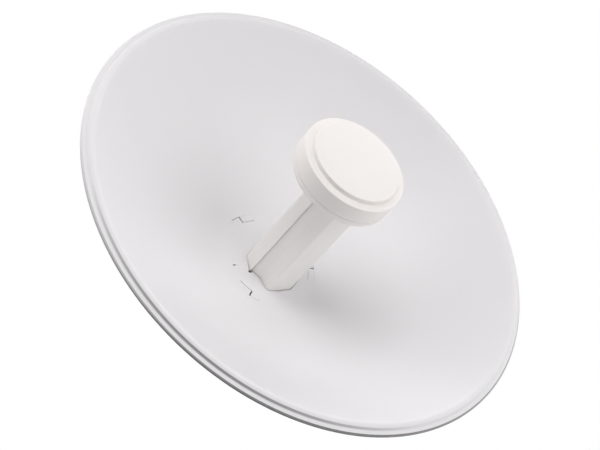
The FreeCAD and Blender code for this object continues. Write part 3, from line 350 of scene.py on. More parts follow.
def window_outlines(s, margin=0.0, trim=0.0):
    """The three bayonet windows, made smaller by a margin and an angle at each end."""
    starts = [s.window_start + index * 2 * math.pi / 3 + trim for index in range(3)]
    inner, outer = s.window_inner + margin, s.window_outer - margin
    return [sector(inner, outer, start, s.window_sweep - 2 * trim) for start in starts]


def inset(corners, wall, side):
    """An open chain of corners moved sideways by a wall; its ends stay at their own height."""
    moved = []
    for (x0, y0, *_), (x1, y1, *_) in zip(corners, corners[1:]):
        along = Vector((x1 - x0, y1 - y0)).normalized()
        shift = Vector((-along.y, along.x)) * (wall * side)
        moved.append((Vector((x0, y0)) + shift, along))
    result = []
    first, along = moved[0]
    result.append(first + along * ((corners[0][1] - first.y) / along.y))
    for (p, u), (q, v) in zip(moved, moved[1:]):
        cross = u.x * v.y - u.y * v.x
        result.append(p + u * (((q - p).x * v.y - (q - p).y * v.x) / cross))
    last, along = moved[-1]
    result.append(last + along * ((corners[-1][1] - last.y) / along.y))
    return [(p.x, p.y, corner[2] * 0.5) for p, corner in zip(result, corners)]


# Meshes

def linked(name, data):
    """A new object in the scene, at the origin."""
    piece = bpy.data.objects.new(name, data)
    bpy.context.scene.collection.objects.link(piece)
    return piece


def mesh_of(name, vertices, faces=(), edges=()):
    """A mesh from plain lists."""
    mesh = bpy.data.meshes.new(name)
    mesh.from_pydata(list(vertices), list(edges), list(faces))
    mesh.update()
    return mesh


def tidied(mesh):
    """Merges doubles, drops loose edges and makes the faces point outwards."""
    work = bmesh.new()
    work.from_mesh(mesh)
    bmesh.ops.remove_doubles(work, verts=work.verts, dist=1e-7)
    bmesh.ops.delete(work, geom=[e for e in work.edges if not e.link_faces], context="EDGES")
    bmesh.ops.delete(work, geom=[v for v in work.verts if not v.link_faces], context="VERTS")
    bmesh.ops.recalc_face_normals(work, faces=work.faces)
    work.to_mesh(mesh)
    work.free()
    return mesh


def spot(axis, a, b, along):
    """A point from an outline's two numbers and a distance along the prism's axis."""
    if axis == "Y":
        return (a, -along, b)
    if axis == "Z":
        return (a, -b, along)
    return (along, -a, b)


def prism(points, axis, low, high):
    """An outline given a length: X and Z ahead, X and ahead upwards, or ahead and Z sideways."""
    count = len(points)
    vertices = [spot(axis, a, b, along) for along in (low, high) for a, b in points]
    faces = [[i, (i + 1) % count, count + (i + 1) % count, count + i] for i in range(count)]
    faces += [list(range(count)), list(range(2 * count - 1, count - 1, -1))]
    return tidied(mesh_of("prism", vertices, faces))


def joined(name, meshes):
    """One mesh that holds several, each as it is."""
    work = bmesh.new()
    for mesh in meshes:
        work.from_mesh(mesh)
    whole = bpy.data.meshes.new(name)
    work.to_mesh(whole)
    work.free()
    return whole


def settled(piece):
    """Applies every modifier on a piece and leaves it a plain mesh."""
    depsgraph = bpy.context.evaluated_depsgraph_get()
    depsgraph.update()
    mesh = bpy.data.meshes.new_from_object(
        piece.evaluated_get(depsgraph), preserve_all_data_layers=True, depsgraph=depsgraph
    )
    piece.modifiers.clear()
    piece.data = mesh
    mesh.name = piece.name
    return piece


def released(piece):
    """A piece's mesh, once the piece itself is gone."""
    mesh = piece.data
    bpy.data.objects.remove(piece)
    return mesh


def combined(mesh, tools, operation="DIFFERENCE"):
    """A mesh cut by, kept inside or grown by other meshes."""
    piece = linked("combined", mesh)
    tool = linked("tool", joined("tool", tools))
    change = piece.modifiers.new("Combine", "BOOLEAN")
    change.operation = operation
    change.solver = "EXACT"
    change.object = tool
    result = released(settled(piece))
    bpy.data.objects.remove(tool)
    if not result.polygons:
        raise RuntimeError("a cut left nothing of " + mesh.name)
    return result


def smoothed(mesh, degrees=32):
    """Smooth shading that breaks at edges sharper than an angle."""
    mesh.shade_smooth()
    mesh.set_sharp_from_angle(angle=math.radians(degrees))
    return mesh


def lofted(ring, sections, cap):
    """An outline in X and Z carried through sections (ahead, scale), closed by its cap's faces."""
    count = len(ring)
    last = (len(sections) - 1) * count
    vertices = [(x * scale, -ahead, z * scale) for ahead, scale in sections for x, z in ring]
    faces = []
    for base in range(0, last, count):
        for i in range(count):
            j = (i + 1) % count
            faces.append([base + i, base + j, base + count + j, base + count + i])
    faces += [[base + i for i in face] for base in (0, last) for face in cap]
    return tidied(mesh_of("lofted", vertices, faces))


def wall_shell(corners, side, wall, sections):
    """A long thin-walled shell: an open chain of corners with a wall."""
    outer = outline(corners, closed=False)
    inner = outline(inset(corners, wall, side), closed=False)
    ring = outer + inner[::-1]
    ends = [[i, i + 1, len(ring) - 2 - i, len(ring) - 1 - i] for i in range(len(outer) - 1)]
    return lofted(ring, sections, ends)


def tapered(points, sections):
    """A long solid."""
    return lofted(points, sections, [list(range(len(points)))])


# Node trees

SOCKETS = {int: "NodeSocketInt", float: "NodeSocketFloat", tuple: "NodeSocketVector"}


def add(tree, kind, inputs=None, **settings):
    """A node with its settings, and its inputs set to values or linked to nodes or sockets."""
    made = tree.nodes.new(kind)
    for key, value in settings.items():
        setattr(made, key, value)
    for key, value in (inputs or {}).items():
        if isinstance(value, bpy.types.Node):
            value = value.outputs[0]
        if isinstance(value, bpy.types.NodeSocket):
            tree.links.new(value, made.inputs[key])
        else:
            made.inputs[key].default_value = value
    return made


def sums(tree, operation, first, second, clamped=False):
    """A number worked out from two others."""
    inputs = {0: first, 1: second}
    return add(tree, "ShaderNodeMath", inputs, operation=operation, use_clamp=clamped)


def vectors(tree, operation, first, second=(0.0, 0.0, 0.0)):
    """A vector or a number worked out from two vectors."""
    made = add(tree, "ShaderNodeVectorMath", {0: first, 1: second}, operation=operation)
    return made.outputs["Value" if operation in ("LENGTH", "DOT_PRODUCT") else "Vector"]


def spread_over(tree, value, low, high, start=0.0, end=1.0):
    """A number carried from one range over to another, and held at its ends."""
    inputs = {"Value": value, "From Min": low, "From Max": high, "To Min": start, "To Max": end}
    return add(tree, "ShaderNodeMapRange", inputs)


def noise(tree, vector, scale, detail):
    return add(tree, "ShaderNodeTexNoise", {"Vector": vector, "Scale": scale, "Detail": detail})


def between(tree, factor, first, second):
    """A number between two others."""
    return add(tree, "ShaderNodeMix", {0: factor, 2: first, 3: second}, data_type="FLOAT")


def new_tree(name, kind, inputs, outputs):
    """A node group with named inputs, each given by its default or its kind, and outputs."""
    tree = bpy.data.node_groups.new(name, kind)
    for label, value in inputs.items():
        socket = SOCKETS.get(type(value)) or "NodeSocket" + value
        made = tree.interface.new_socket(label, in_out="INPUT", socket_type=socket)
        if type(value) in SOCKETS:
            made.default_value = value
    for label, value in outputs.items():
        tree.interface.new_socket(label, in_out="OUTPUT", socket_type="NodeSocket" + value)
    return tree, tree.nodes.new("NodeGroupInput").outputs


def ended(tree, results):
    """The same tree with its results linked to its outputs."""
    add(tree, "NodeGroupOutput", results)
    return tree


def shape_tree(name, inputs):
    """A geometry tree that takes a shape and a material besides its other inputs."""
    inputs = {"Geometry": "Geometry", **inputs, "Material": "Material"}
    return new_tree(name, "GeometryNodeTree", inputs, {"Geometry": "Geometry"})


def dressed(tree, shape, given):
    """Ends a geometry tree in real geometry with its material."""
    real = add(tree, "GeometryNodeRealizeInstances", {"Geometry": shape})
    inputs = {"Geometry": real, "Material": given["Material"]}
    return ended(tree, {"Geometry": add(tree, "GeometryNodeSetMaterial", inputs)})


def moved(tree, shape, turned_by, shift=(0.0, 0.0, 0.0)):
    """A shape turned and then shifted."""
    inputs = {"Geometry": shape, "Rotation": turned_by, "Translation": shift}
    return add(tree, "GeometryNodeTransform", inputs)


def swept(tree, path, profile, caps=False):
    """A profile swept along a path."""
    inputs = {"Curve": path, "Profile Curve": profile, "Fill Caps": caps}
    return add(tree, "GeometryNodeCurveToMesh", inputs)


def turned_profile_tree(name):
    """Sweeps a profile, drawn from a hub radius, round the dish's axis."""
    tree, given = shape_tree(name, {"Segments": 96, "Hub Radius": 0.01})
    profile = add(tree, "GeometryNodeMeshToCurve", {"Mesh": given["Geometry"]})
    inputs = {"Resolution": given["Segments"], "Radius": given["Hub Radius"]}
    body = swept(tree, add(tree, "GeometryNodeCurvePrimitiveCircle", inputs), profile)
    inputs = {"Geometry": body, "Distance": 1e-6}
    merged = add(tree, "GeometryNodeMergeByDistance", inputs)
    return dressed(tree, moved(tree, merged, (-QUARTER_TURN, 0, 0)), given)


def copies_in_rows_tree(name):
    """Sets copies of a piece out on a grid in X and Z; those on the left may face left."""
    tree, given = shape_tree(name, {
        "Columns": 2,
        "Rows": 2,
        "Width": 0.02,
        "Height": 0.02,
        "Centre": (0.0, 0.0, 0.0),
        "Turn Left Side": 0.0,
    })
    grid = add(tree, "GeometryNodeMeshGrid", {
        "Size X": given["Width"],
        "Size Y": given["Height"],
        "Vertices X": given["Columns"],
        "Vertices Y": given["Rows"],
    })
    places = moved(tree, grid, (QUARTER_TURN, 0, 0), given["Centre"])
    parts = add(tree, "ShaderNodeSeparateXYZ", {0: add(tree, "GeometryNodeInputPosition")})
    left = sums(tree, "LESS_THAN", parts, 0.0)
    angle = sums(tree, "MULTIPLY", left, given["Turn Left Side"])
    facing = add(tree, "ShaderNodeCombineXYZ", {2: angle})
    inputs = {"Points": places, "Instance": given["Geometry"], "Rotation": facing}
    return dressed(tree, add(tree, "GeometryNodeInstanceOnPoints", inputs), given)


def screw_thread_tree(name):
    """A ridge that winds round the dish's axis, added to the shank it is given."""
    tree, given = shape_tree(name, {
        "Radius": 0.003,
        "Depth": 0.0004,
        "Pitch": 0.001,
        "Start": 0.0,
        "Length": 0.02,
    })
    middle = sums(tree, "SUBTRACT", given["Radius"], given["Depth"])
    winding = add(tree, "GeometryNodeCurveSpiral", {
        "Resolution": 20,
        "Rotations": sums(tree, "DIVIDE", given["Length"], given["Pitch"]),
        "Start Radius": middle,
        "End Radius": middle,
        "Height": given["Length"],
    })
    inputs = {"Resolution": 4, "Radius": given["Depth"]}
    ridge = swept(tree, winding, add(tree, "GeometryNodeCurvePrimitiveCircle", inputs), True)
    back = sums(tree, "MULTIPLY", given["Start"], -1.0)
    lying = moved(
        tree, ridge, (QUARTER_TURN, 0, 0), add(tree, "ShaderNodeCombineXYZ", {1: back}).outputs[0]
    )
    both = add(tree, "GeometryNodeJoinGeometry", {0: lying})
    tree.links.new(given["Geometry"], both.inputs[0])
    return dressed(tree, both, given)


def grown(mesh, tree_name, **values):
    """The plain mesh that a node tree makes of a mesh and its named inputs."""
    tree = made_once(tree_name)
    holder = linked("grown", mesh)
    shape = holder.modifiers.new("Shape", "NODES")
    shape.node_group = tree
    named = {key.replace("_", " ").lower(): value for key, value in values.items()}
    for item in tree.interface.items_tree:
        if item.item_type == "SOCKET" and item.in_out == "INPUT" and item.name.lower() in named:
            shape[item.identifier] = named.pop(item.name.lower())
    if named:
        raise RuntimeError(f"{tree_name} has no input for {sorted(named)}")
    result = released(settled(holder))
    if not result.polygons:
        raise RuntimeError(f"{tree_name} made nothing")
    return result


def turned(corners, segments, material, steps=4, closed=False):
    """A turned body from corners (radius, ahead, reach): back first, then side, then front."""
    points = outline(corners, steps, closed)
    hub = 0.5 * max(r for r, _ in points)
    count = len(points)
    edges = [(i, i + 1) for i in range(count - 1)] + ([(count - 1, 0)] if closed else [])
    mesh = mesh_of("profile", [(r - hub, ahead, 0) for r, ahead in points], edges=edges)
    return tidied(
        grown(mesh, "Turned Profile", segments=segments, hub_radius=hub, material=material)
    )


def pair_of(mesh, apart, material, **values):
    """Two copies of a piece, side by side."""
    return grown(
        mesh, "Copies in Rows", columns=2, rows=1, width=apart, height=0.0, material=material,
        **values,
    )


# Finishes

GRAIN_OUTPUTS = {"Grain": "Float", "Mottle": "Float", "Height": "Float"}


def surface_grain_group(name):
    """Fine grain and a broad, faint mottle, as a moulded or sprayed surface has."""
    inputs = {"Vector": "Vector", "Fine Scale": 1500.0, "Broad Scale": 30.0, "Broad Share": 0.3}
    tree, given = new_tree(name, "ShaderNodeTree", inputs, GRAIN_OUTPUTS)
    fine = noise(tree, given["Vector"], given["Fine Scale"], 2.0)
    broad = noise(tree, given["Vector"], given["Broad Scale"], 3.0)
    height = between(tree, given["Broad Share"], fine, broad)
    return ended(tree, {"Grain": fine, "Mottle": broad, "Height": height})


def rolled_streaks_group(name):
    """Long thin streaks, as rolling, drawing or plating leaves."""
    inputs = {"Vector": "Vector", "Along": (1.0, 1.0, 0.06), "Scale": 900.0, "Patch Scale": 90.0}
    tree, given = new_tree(name, "ShaderNodeTree", inputs, GRAIN_OUTPUTS)
    drawn = vectors(tree, "MULTIPLY", given["Vector"], given["Along"])
    streak = noise(tree, drawn, given["Scale"], 3.0)
    inputs = {"Vector": given["Vector"], "Scale": given["Patch Scale"]}
    patch = add(tree, "ShaderNodeTexVoronoi", inputs, feature="SMOOTH_F1")
    height = between(tree, 0.25, streak, patch)
    return ended(tree, {"Grain": streak, "Mottle": patch, "Height": height})


def edge_wear_group(name):
    """A broken mask along sharp outer edges."""
    inputs = {"Vector": "Vector", "Width": 0.0006, "Amount": 0.5, "Break Scale": 220.0}
    tree, given = new_tree(name, "ShaderNodeTree", inputs, {"Mask": "Float"})
    soft = add(tree, "ShaderNodeBevel", {"Radius": given["Width"]}, samples=4)
    plain = add(tree, "ShaderNodeNewGeometry").outputs["Normal"]
    edge = spread_over(tree, vectors(tree, "DOT_PRODUCT", soft, plain), 0.995, 0.90)
    broken = spread_over(tree, noise(tree, given["Vector"], given["Break Scale"], 4.0), 0.42, 0.62)
    patchy = sums(tree, "MULTIPLY", edge, broken)
    return ended(tree, {"Mask": sums(tree, "MULTIPLY", patchy, given["Amount"], True)})


def settled_dust_group(name):
    """A faint uneven mask on faces that look upwards."""
    inputs = {"Vector": "Vector", "Amount": 0.1, "Patch Scale": 18.0}
    tree, given = new_tree(name, "ShaderNodeTree", inputs, {"Mask": "Float"})
    plain = add(tree, "ShaderNodeNewGeometry").outputs["Normal"]
    parts = add(tree, "ShaderNodeSeparateXYZ", {0: plain})
    upward = spread_over(tree, parts.outputs[2], 0.2, 1.0)
    patches = noise(tree, given["Vector"], given["Patch Scale"], 6.0)
    lying = sums(tree, "MULTIPLY", upward, spread_over(tree, patches, 0.35, 0.7, 0.1))
    return ended(tree, {"Mask": sums(tree, "MULTIPLY", lying, given["Amount"], True)})


def shade_band_group(name):
    """A mask between two radii round the dish's axis, fullest on one side of it, where painted
    shade goes.
    """
    tree, given = new_tree(
        name,
        "ShaderNodeTree",
        {
            "Vector": "Vector",
            "Inner": 0.2,
            "Outer": 0.3,
            "Blur": 0.0003,
            "Side": (-1.0, 0.0, 0.0),
            "Side Start": 0.0,
        },
        {"Mask": "Float"},
    )
    flat = vectors(tree, "MULTIPLY", given["Vector"], (1.0, 0.0, 1.0))
    radius = vectors(tree, "LENGTH", flat)
    ramps = []
    for low, high in ((given["Inner"], radius), (radius, given["Outer"])):
        gap = sums(tree, "SUBTRACT", high, low)
        ramps.append(sums(tree, "DIVIDE", gap, given["Blur"], True))
    facing = vectors(tree, "DOT_PRODUCT", vectors(tree, "NORMALIZE", flat), given["Side"])
    there = spread_over(tree, facing, given["Side Start"], 1.0)
    return ended(tree, {"Mask": sums(tree, "MULTIPLY", sums(tree, "MULTIPLY", *ramps), there)})


TREE_MAKERS = {
    "Turned Profile": turned_profile_tree,
    "Copies in Rows": copies_in_rows_tree,
    "Screw Thread": screw_thread_tree,
    "Shade Band": shade_band_group,
    "Surface Grain": surface_grain_group,
    "Rolled Streaks": rolled_streaks_group,
    "Edge Wear": edge_wear_group,
    "Settled Dust": settled_dust_group,
}


def made_once(name):
    """A node tree by its name, made the first time that it is asked for."""
    return bpy.data.node_groups.get(name) or TREE_MAKERS[name](name)


def placed_group(tree, name, vector, **inputs):
    """A shader group in a material's tree, with its inputs by name."""
    inputs = {key.replace("_", " ").title(): value for key, value in inputs.items()}
    return add(
        tree, "ShaderNodeGroup", {"Vector": vector, **inputs}, node_tree=made_once(name)
    )


def blended(tree, mask, first, second):
    """A colour that goes from one to another by a mask."""
    return add(tree, "ShaderNodeMix", {0: mask, 6: first, 7: second}, data_type="RGBA").outputs[2]


def scaled(colour, factor=1.0):
    """An RGBA colour made lighter or darker."""
    return tuple(min(1.0, channel * factor) for channel in colour) + (1.0,)


def make_finish(name, colour, surface, roughness, bump, spread, wear=None, dust=None, painted_shade_bands=()):
    """One procedural finish. Surface is (group, its inputs), roughness a low and high value, bump a
    height in metres, wear and dust are (amount, colour), and painted_shade_bands are annular strips
    of painted shade in another colour: (inner radius, outer radius, colour, clock angle of the
    fullest side, cosine where it starts)."""
    material = bpy.data.materials.new(name)
    material.use_nodes = True
    material.diffuse_color = tuple(colour) + (1.0,)
    tree = material.node_tree
    where = add(tree, "ShaderNodeTexCoord").outputs["Object"]
    group, inputs = surface
    grain = placed_group(tree, group, where, **inputs)
    mottle = grain.outputs["Mottle"]
    tone = blended(tree, mottle, scaled(colour, 1 - spread), scaled(colour, 1 + spread))
    rough = spread_over(tree, mottle, 0.3, 0.7, *roughness)
    # Each of these darkens the surface in a ring, fullest on one side of the axis: painted shade.
    for inner, outer, shade_colour, clock, start in painted_shade_bands:
        side = (math.sin(clock), 0.0, math.cos(clock))
        mask = placed_group(
            tree, "Shade Band", where, inner=inner, outer=outer, side=side, side_start=start
        )
        tone = blended(tree, mask, tone, scaled(shade_colour))
    if wear:
        mask = placed_group(tree, "Edge Wear", where, amount=wear[0])
        tone = blended(tree, mask, tone, scaled(wear[1]))
    if dust:
        mask = placed_group(tree, "Settled Dust", where, amount=dust[0])
        tone = blended(tree, mask, tone, scaled(dust[1]))
        rough = between(tree, mask, rough, DUSTY_ROUGHNESS)
    inputs = {"Height": grain.outputs["Height"], "Strength": 0.5, "Distance": bump}
    relief = add(tree, "ShaderNodeBump", inputs)
    body = tree.nodes["Principled BSDF"]
    tree.links.new(tone, body.inputs["Base Color"])
    tree.links.new(rough.outputs[0], body.inputs["Roughness"])
    tree.links.new(relief.outputs[0], body.inputs["Normal"])
    return material


def finish(slot):
    """The material of one of the record's slots."""
    found = bpy.data.materials.get("finish_" + slot)
    if found is None:
        raise RuntimeError(f"make the finishes first: there is none for {slot}")
    return found


def settle_piece(mesh, name, body, slot, *nodes, degrees=32):
    """Makes a finished mesh a piece: gives it its slot's material and its shading, hangs it on its
    body and hides the CAD nodes it stands in for.
    """
    mesh.name = name
    mesh.materials.clear()
    mesh.materials.append(finish(slot))
    mesh.polygons.foreach_set("material_index", [0] * len(mesh.polygons))
    if degrees is not None:
        smoothed(mesh, degrees)
    piece = linked(name, mesh)
    if body:
        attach(piece, body)
    for node in nodes:
        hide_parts(node)
    return piece


def softened_copy(node, width, segments=2, angle=30, flat=1.0):
    """A copy of a CAD node with its flat faces whole again and its edges rounded."""
    mesh = frame["nodes"][node].data.copy()
    work = bmesh.new()
    work.from_mesh(mesh)
    bmesh.ops.remove_doubles(work, verts=work.verts, dist=2e-6)
    bmesh.ops.dissolve_limit(
        work, angle_limit=math.radians(flat), verts=work.verts, edges=work.edges
    )
    work.to_mesh(mesh)
    work.free()
    piece = linked("softened", mesh)
    rounding = piece.modifiers.new("Rounding", "BEVEL")
    rounding.width = width
    rounding.segments = segments
    rounding.limit_method = "ANGLE"
    rounding.angle_limit = math.radians(angle)
    rounding.use_clamp_overlap = False
    rounding.miter_outer = "MITER_ARC"
    weighting = piece.modifiers.new("Weighting", "WEIGHTED_NORMAL")
    weighting.keep_sharp = True
    smoothed(mesh, angle)
    for edge in mesh.edges:
        edge.use_edge_sharp = False
    return released(settled(piece))


# Operators

class MakeFinishes(bpy.types.Operator):
    """Make the procedural finish of every material slot"""

    bl_idname = "dish.make_finishes"
    bl_label = "Make Finishes"

    def execute(self, context):
        t = context.scene.dish.colours
        moulded, smooth, sprayed, soft = (
            ("Surface Grain", {"fine_scale": fine, "broad_scale": broad, "broad_share": amount})
            for fine, broad, amount in (
                (1300.0, 26.0, 0.2),
                (900.0, 34.0, 0.45),
                (620.0, 9.0, 0.15),
                (2400.0, 60.0, 0.3),
            )
        )
        plated, drawn = (
            ("Rolled Streaks", {"scale": scale, "patch_scale": patch})
            for scale, patch in ((700.0, 160.0), (1600.0, 420.0))
        )
        rub, dull, duller = (0.2, t.wear), (0.5, (0.42, 0.42, 0.43)), (0.5, (0.40, 0.40, 0.41))
        # Colour, surface, roughness, bump, spread of tone, edge wear and amount of dust.
        table = {
            "dish_white": (t.dish, sprayed, (0.42, 0.50), 0.00012, 0.008, (0.25, t.wear), 0.04),
            "radome_white": (t.radome, smooth, (0.36, 0.44), 0.00005, 0.010, None, 0.03),
            "feed_grey": (t.arm, moulded, (0.34, 0.44), 0.00006, 0.015, rub, 0.03),
            "housing_white": (t.housing, moulded, (0.46, 0.58), 0.00016, 0.02, rub, 0.10),
            "seal_rubber": (t.rubber, soft, (0.7, 0.85), 0.00008, 0.15, None, 0.08),
            "zinc_steel": (t.zinc, plated, (0.28, 0.44), 0.00006, 0.14, dull, 0.08),
            "bolt_steel": (t.zinc, drawn, (0.24, 0.40), 0.00004, 0.10, duller, 0.06),
            "screw_steel": (t.stainless, drawn, (0.22, 0.36), 0.00003, 0.08),
            "spring_steel": (scaled(t.stainless, 0.8)[:3], drawn, (0.25, 0.4), 0.00002, 0.1),
            "spacer_nylon": (t.nylon, soft, (0.42, 0.55), 0.00005, 0.04, None, 0.05),
            "insert_brass": (t.brass, drawn, (0.25, 0.4), 0.00004, 0.08),
            "bare_aluminium": (t.aluminium, plated, (0.3, 0.42), 0.00005, 0.06),
            "tinned_steel": (scaled(t.stainless, 1.15)[:3], plated, (0.25, 0.35), 0.00004, 0.06),
            "circuit_board": (t.board, moulded, (0.25, 0.4), 0.00004, 0.2),
            "copper": (t.copper, drawn, (0.25, 0.4), 0.00003, 0.08),
            "thermal_pad": (t.pad, soft, (0.7, 0.85), 0.00008, 0.06),
            "jack_black": (t.jack, moulded, (0.30, 0.42), 0.00006, 0.15, (0.2, (0.05, 0.05, 0.05))),
            "light_pipe": (t.pipe, smooth, (0.12, 0.2), 0.00003, 0.03),
        }
        shaders = {
            "dish_white": {"Specular IOR Level": 0.4},
            "radome_white": {"Specular IOR Level": 0.45},
            "zinc_steel": {"Metallic": 0.95},
            "light_pipe": {"Transmission Weight": 0.5},
        }
        bare_metals = (
            "bolt_steel", "screw_steel", "spring_steel", "insert_brass", "bare_aluminium",
            "tinned_steel", "copper",
        )
        for slot in bare_metals:
            shaders[slot] = {"Metallic": 1.0}
        s = context.scene.dish.reflector
        # Three annular strips of painted shade round the reflector's rim, each darkest on one side:
        # the rim on its far side, the step on the lower left and the folded edge low down.
        far, low_left, low = (math.radians(clock) for clock in (70, 262, 237))
        edge = s.rim_radius + 0.001
        painted_shade_rings = (
            (s.crest_outer - 0.0029, edge, t.far_rim, far, 0.1),
            (s.crest_outer - 0.0001, s.step_radius - 0.0003, t.groove, low_left, 0.65),
            (s.rim_radius - 0.0017, edge, t.fold, low, -0.05),
        )
        for slot, (colour, surface, rough, bump, spread, *rest) in table.items():
            wear, fallen = (*rest, None, None)[:2]
            made = make_finish(
                "finish_" + slot, colour, surface, rough, bump, spread, wear,
                fallen and (fallen, t.dust), painted_shade_rings if slot == "dish_white" else (),
            )
            for key, value in shaders.get(slot, {}).items():
                made.node_tree.nodes["Principled BSDF"].inputs[key].default_value = value
        return {"FINISHED"}


class MakeReflector(bpy.types.Operator):
    """Make the pressed reflector with its crest, folded rim, windows and tick"""

    bl_idname = "dish.make_reflector"
    bl_label = "Make Reflector"

    def skin(self, s, back_by, steps=44, blend_steps=8):
        """The reflector's line from the axis to the crest, moved back by a distance."""
        seat = s.seat_ahead - back_by
        side = s.crest_ahead - s.crest_drop - back_by
        vertex = side - s.crest_inner ** 2 / (4 * s.focal_length)
        blend_ahead = vertex + s.blend_radius ** 2 / (4 * s.focal_length)
        slope = math.atan(s.blend_radius / (2 * s.focal_length))
        radius = (blend_ahead - seat) / (1 - math.cos(slope))
        centre = s.blend_radius - radius * math.sin(slope)
        points = [(0, seat, 0)]
        for step in range(blend_steps + 1):
            angle = slope * step / blend_steps
            rise = radius * (1 - math.cos(angle))
            points.append((centre + radius * math.sin(angle), seat + rise, 0))
        for step in range(1, steps + 1):
            r = s.blend_radius + (s.crest_inner - s.blend_radius) * step / steps
            points.append((r, vertex + r * r / (4 * s.focal_length), 0))
        return points

    def crest(self, s, outer, top, steps=8):
        """The crest's rounded line between its two sides."""
        middle = (s.crest_inner + outer) / 2
        half = (outer - s.crest_inner) / 2
        points = []
        for step in range(1, steps):
            r = s.crest_inner + (outer - s.crest_inner) * step / steps
            points.append((r, top - s.crest_drop * ((r - middle) / half) ** 2, 0))
        return points

    def execute(self, context):
        s = context.scene.dish.reflector
        top = s.crest_ahead
        side = top - s.crest_drop
        flange = top - s.flange_drop
        rim = top - s.rim_drop
        back_outer = s.crest_outer - s.fold
        edge = s.rim_radius
        corners = [
            *self.skin(s, s.sheet),
            *self.crest(s, back_outer, top - s.sheet),
            (back_outer, side - s.sheet, 0.0003),
            (s.step_radius - s.fold / 2, flange - s.fold, 0.0005),
            (edge - s.fold, flange - s.fold, 0.0002),
            (edge - s.fold, rim, 0.0003),
            (edge, rim, 0.0003),
            (edge, flange, 0.0009),
            (s.step_radius, flange, 0.0006),
            (s.crest_outer, side, 0.0003),
            *self.crest(s, s.crest_outer, top)[::-1],
            *self.skin(s, 0)[::-1],
        ]
        body = turned(corners, s.segments, finish("dish_white"))
        holes = [self.arm_hole(context.scene.dish.arm), self.tick(s), *window_outlines(s)]
        reach = 0.006
        tools = [prism(hole, "Y", s.seat_ahead - reach, s.seat_ahead + reach) for hole in holes]
        body = combined(body, tools)
        settle_piece(body, "reflector_shell", "head", "dish_white", "dish_reflector", degrees=28)
        return {"FINISHED"}

    def arm_hole(self, a):
        """The hole that the arm goes through, with a notch at each of its lips."""
        gap = a.hole_gap
        fit = a.cover_gap
        notch = a.lip_notch
        return outline(mirrored([
            (a.crown_x, a.crown_z + fit, a.corner),
            (a.shoulder_x + fit, a.shoulder_z + fit, a.corner),
            (a.lip_x + fit, a.split_z + notch / 2, 0),
            (a.lip_x + notch, a.split_z + notch / 4, 0.0008),
            (a.channel_x + notch, a.split_z - notch / 2, 0.0008),
            (a.channel_x + gap, a.split_z - notch * 0.7, 0),
            (a.channel_x + gap, a.channel_z, 0.0008),
            (a.flank_x + gap, a.flank_z, a.corner),
            (a.facet_x + gap, a.facet_z - gap, a.corner),
            (a.keel_x, a.keel_z - gap, a.corner),
        ]))

    def tick(self, s):
        """The short radial mark beside the arm."""
        half = s.tick_width / 2
        points = box_outline(-half, half, s.tick_radius - s.tick_length, s.tick_radius, 0.0003, 2)
        sine, cosine = math.sin(s.tick_angle), math.cos(s.tick_angle)
        return [(x * cosine + z * sine, z * cosine - x * sine) for x, z in points]


class MakeDrum(bpy.types.Operator):
    """Make the drum: its cup behind the seam and the radome lid in front"""

    bl_idname = "dish.make_drum"
    bl_label = "Make Drum"

    def execute(self, context):
        d = context.scene.dish.drum
        material = finish("radome_white")
        seal_end = d.seal_ahead + d.seal_width
        spigot_inner = d.spigot_radius - d.wall
        cup = turned(
            [
                (d.launch_hole, d.rear_ahead, 0),
                (d.radius, d.rear_ahead, d.rear_edge),
                (d.radius, d.seam_ahead, d.seam_edge),
                (d.spigot_radius, d.seam_ahead, 0.0001),
                (d.spigot_radius, d.seal_ahead, 0),
                (d.seal_inner, d.seal_ahead, 0),
                (d.seal_inner, seal_end, 0),
                (d.spigot_radius, seal_end, 0),
                (d.spigot_radius, d.spigot_ahead, 0.0004),
                (spigot_inner, d.spigot_ahead, 0),
                (spigot_inner, d.rear_ahead + d.wall, 0.0006),
                (d.launch_hole, d.rear_ahead + d.wall, 0),
            ],
            d.segments,
            material,
            closed=True,
        )
        reach = context.scene.dish.fasteners.drum_screw_pitch * math.sqrt(0.5)
        sink_radius = 0.0029
        span = (d.rear_ahead - 0.001, d.rear_ahead + 0.0013)
        sinks = [
            prism(circle(x * reach, z * reach, sink_radius), "Y", *span)
            for x in SIDES
            for z in SIDES
        ]
        settle_piece(combined(cup, sinks), "drum_cup_shell", "feed", "radome_white", "drum_cup")
        inner = d.radius - d.wall
        disc_inner = d.disc_radius - d.wall
        lid = turned(
            [
                (0, d.disc_ahead - d.wall, 0),
                (disc_inner, d.disc_ahead - d.wall, 0.0006),
                (disc_inner, d.ring_ahead - d.wall, 0),
                (inner, d.ring_ahead - d.wall, 0.0006),
                (inner, d.lid_rear_ahead, 0),
                (d.radius, d.lid_rear_ahead, d.seam_edge),
                (d.radius, d.ring_ahead, d.ring_edge),
                (d.disc_radius, d.ring_ahead, 0.0004),
                (d.disc_radius, d.disc_ahead, d.disc_edge),
                (0, d.disc_ahead, 0),
            ],
            d.segments,
            material,
            steps=5,
        )
        settle_piece(lid, "radome_lid_shell", "feed", "radome_white", "radome_lid")
        return {"FINISHED"}


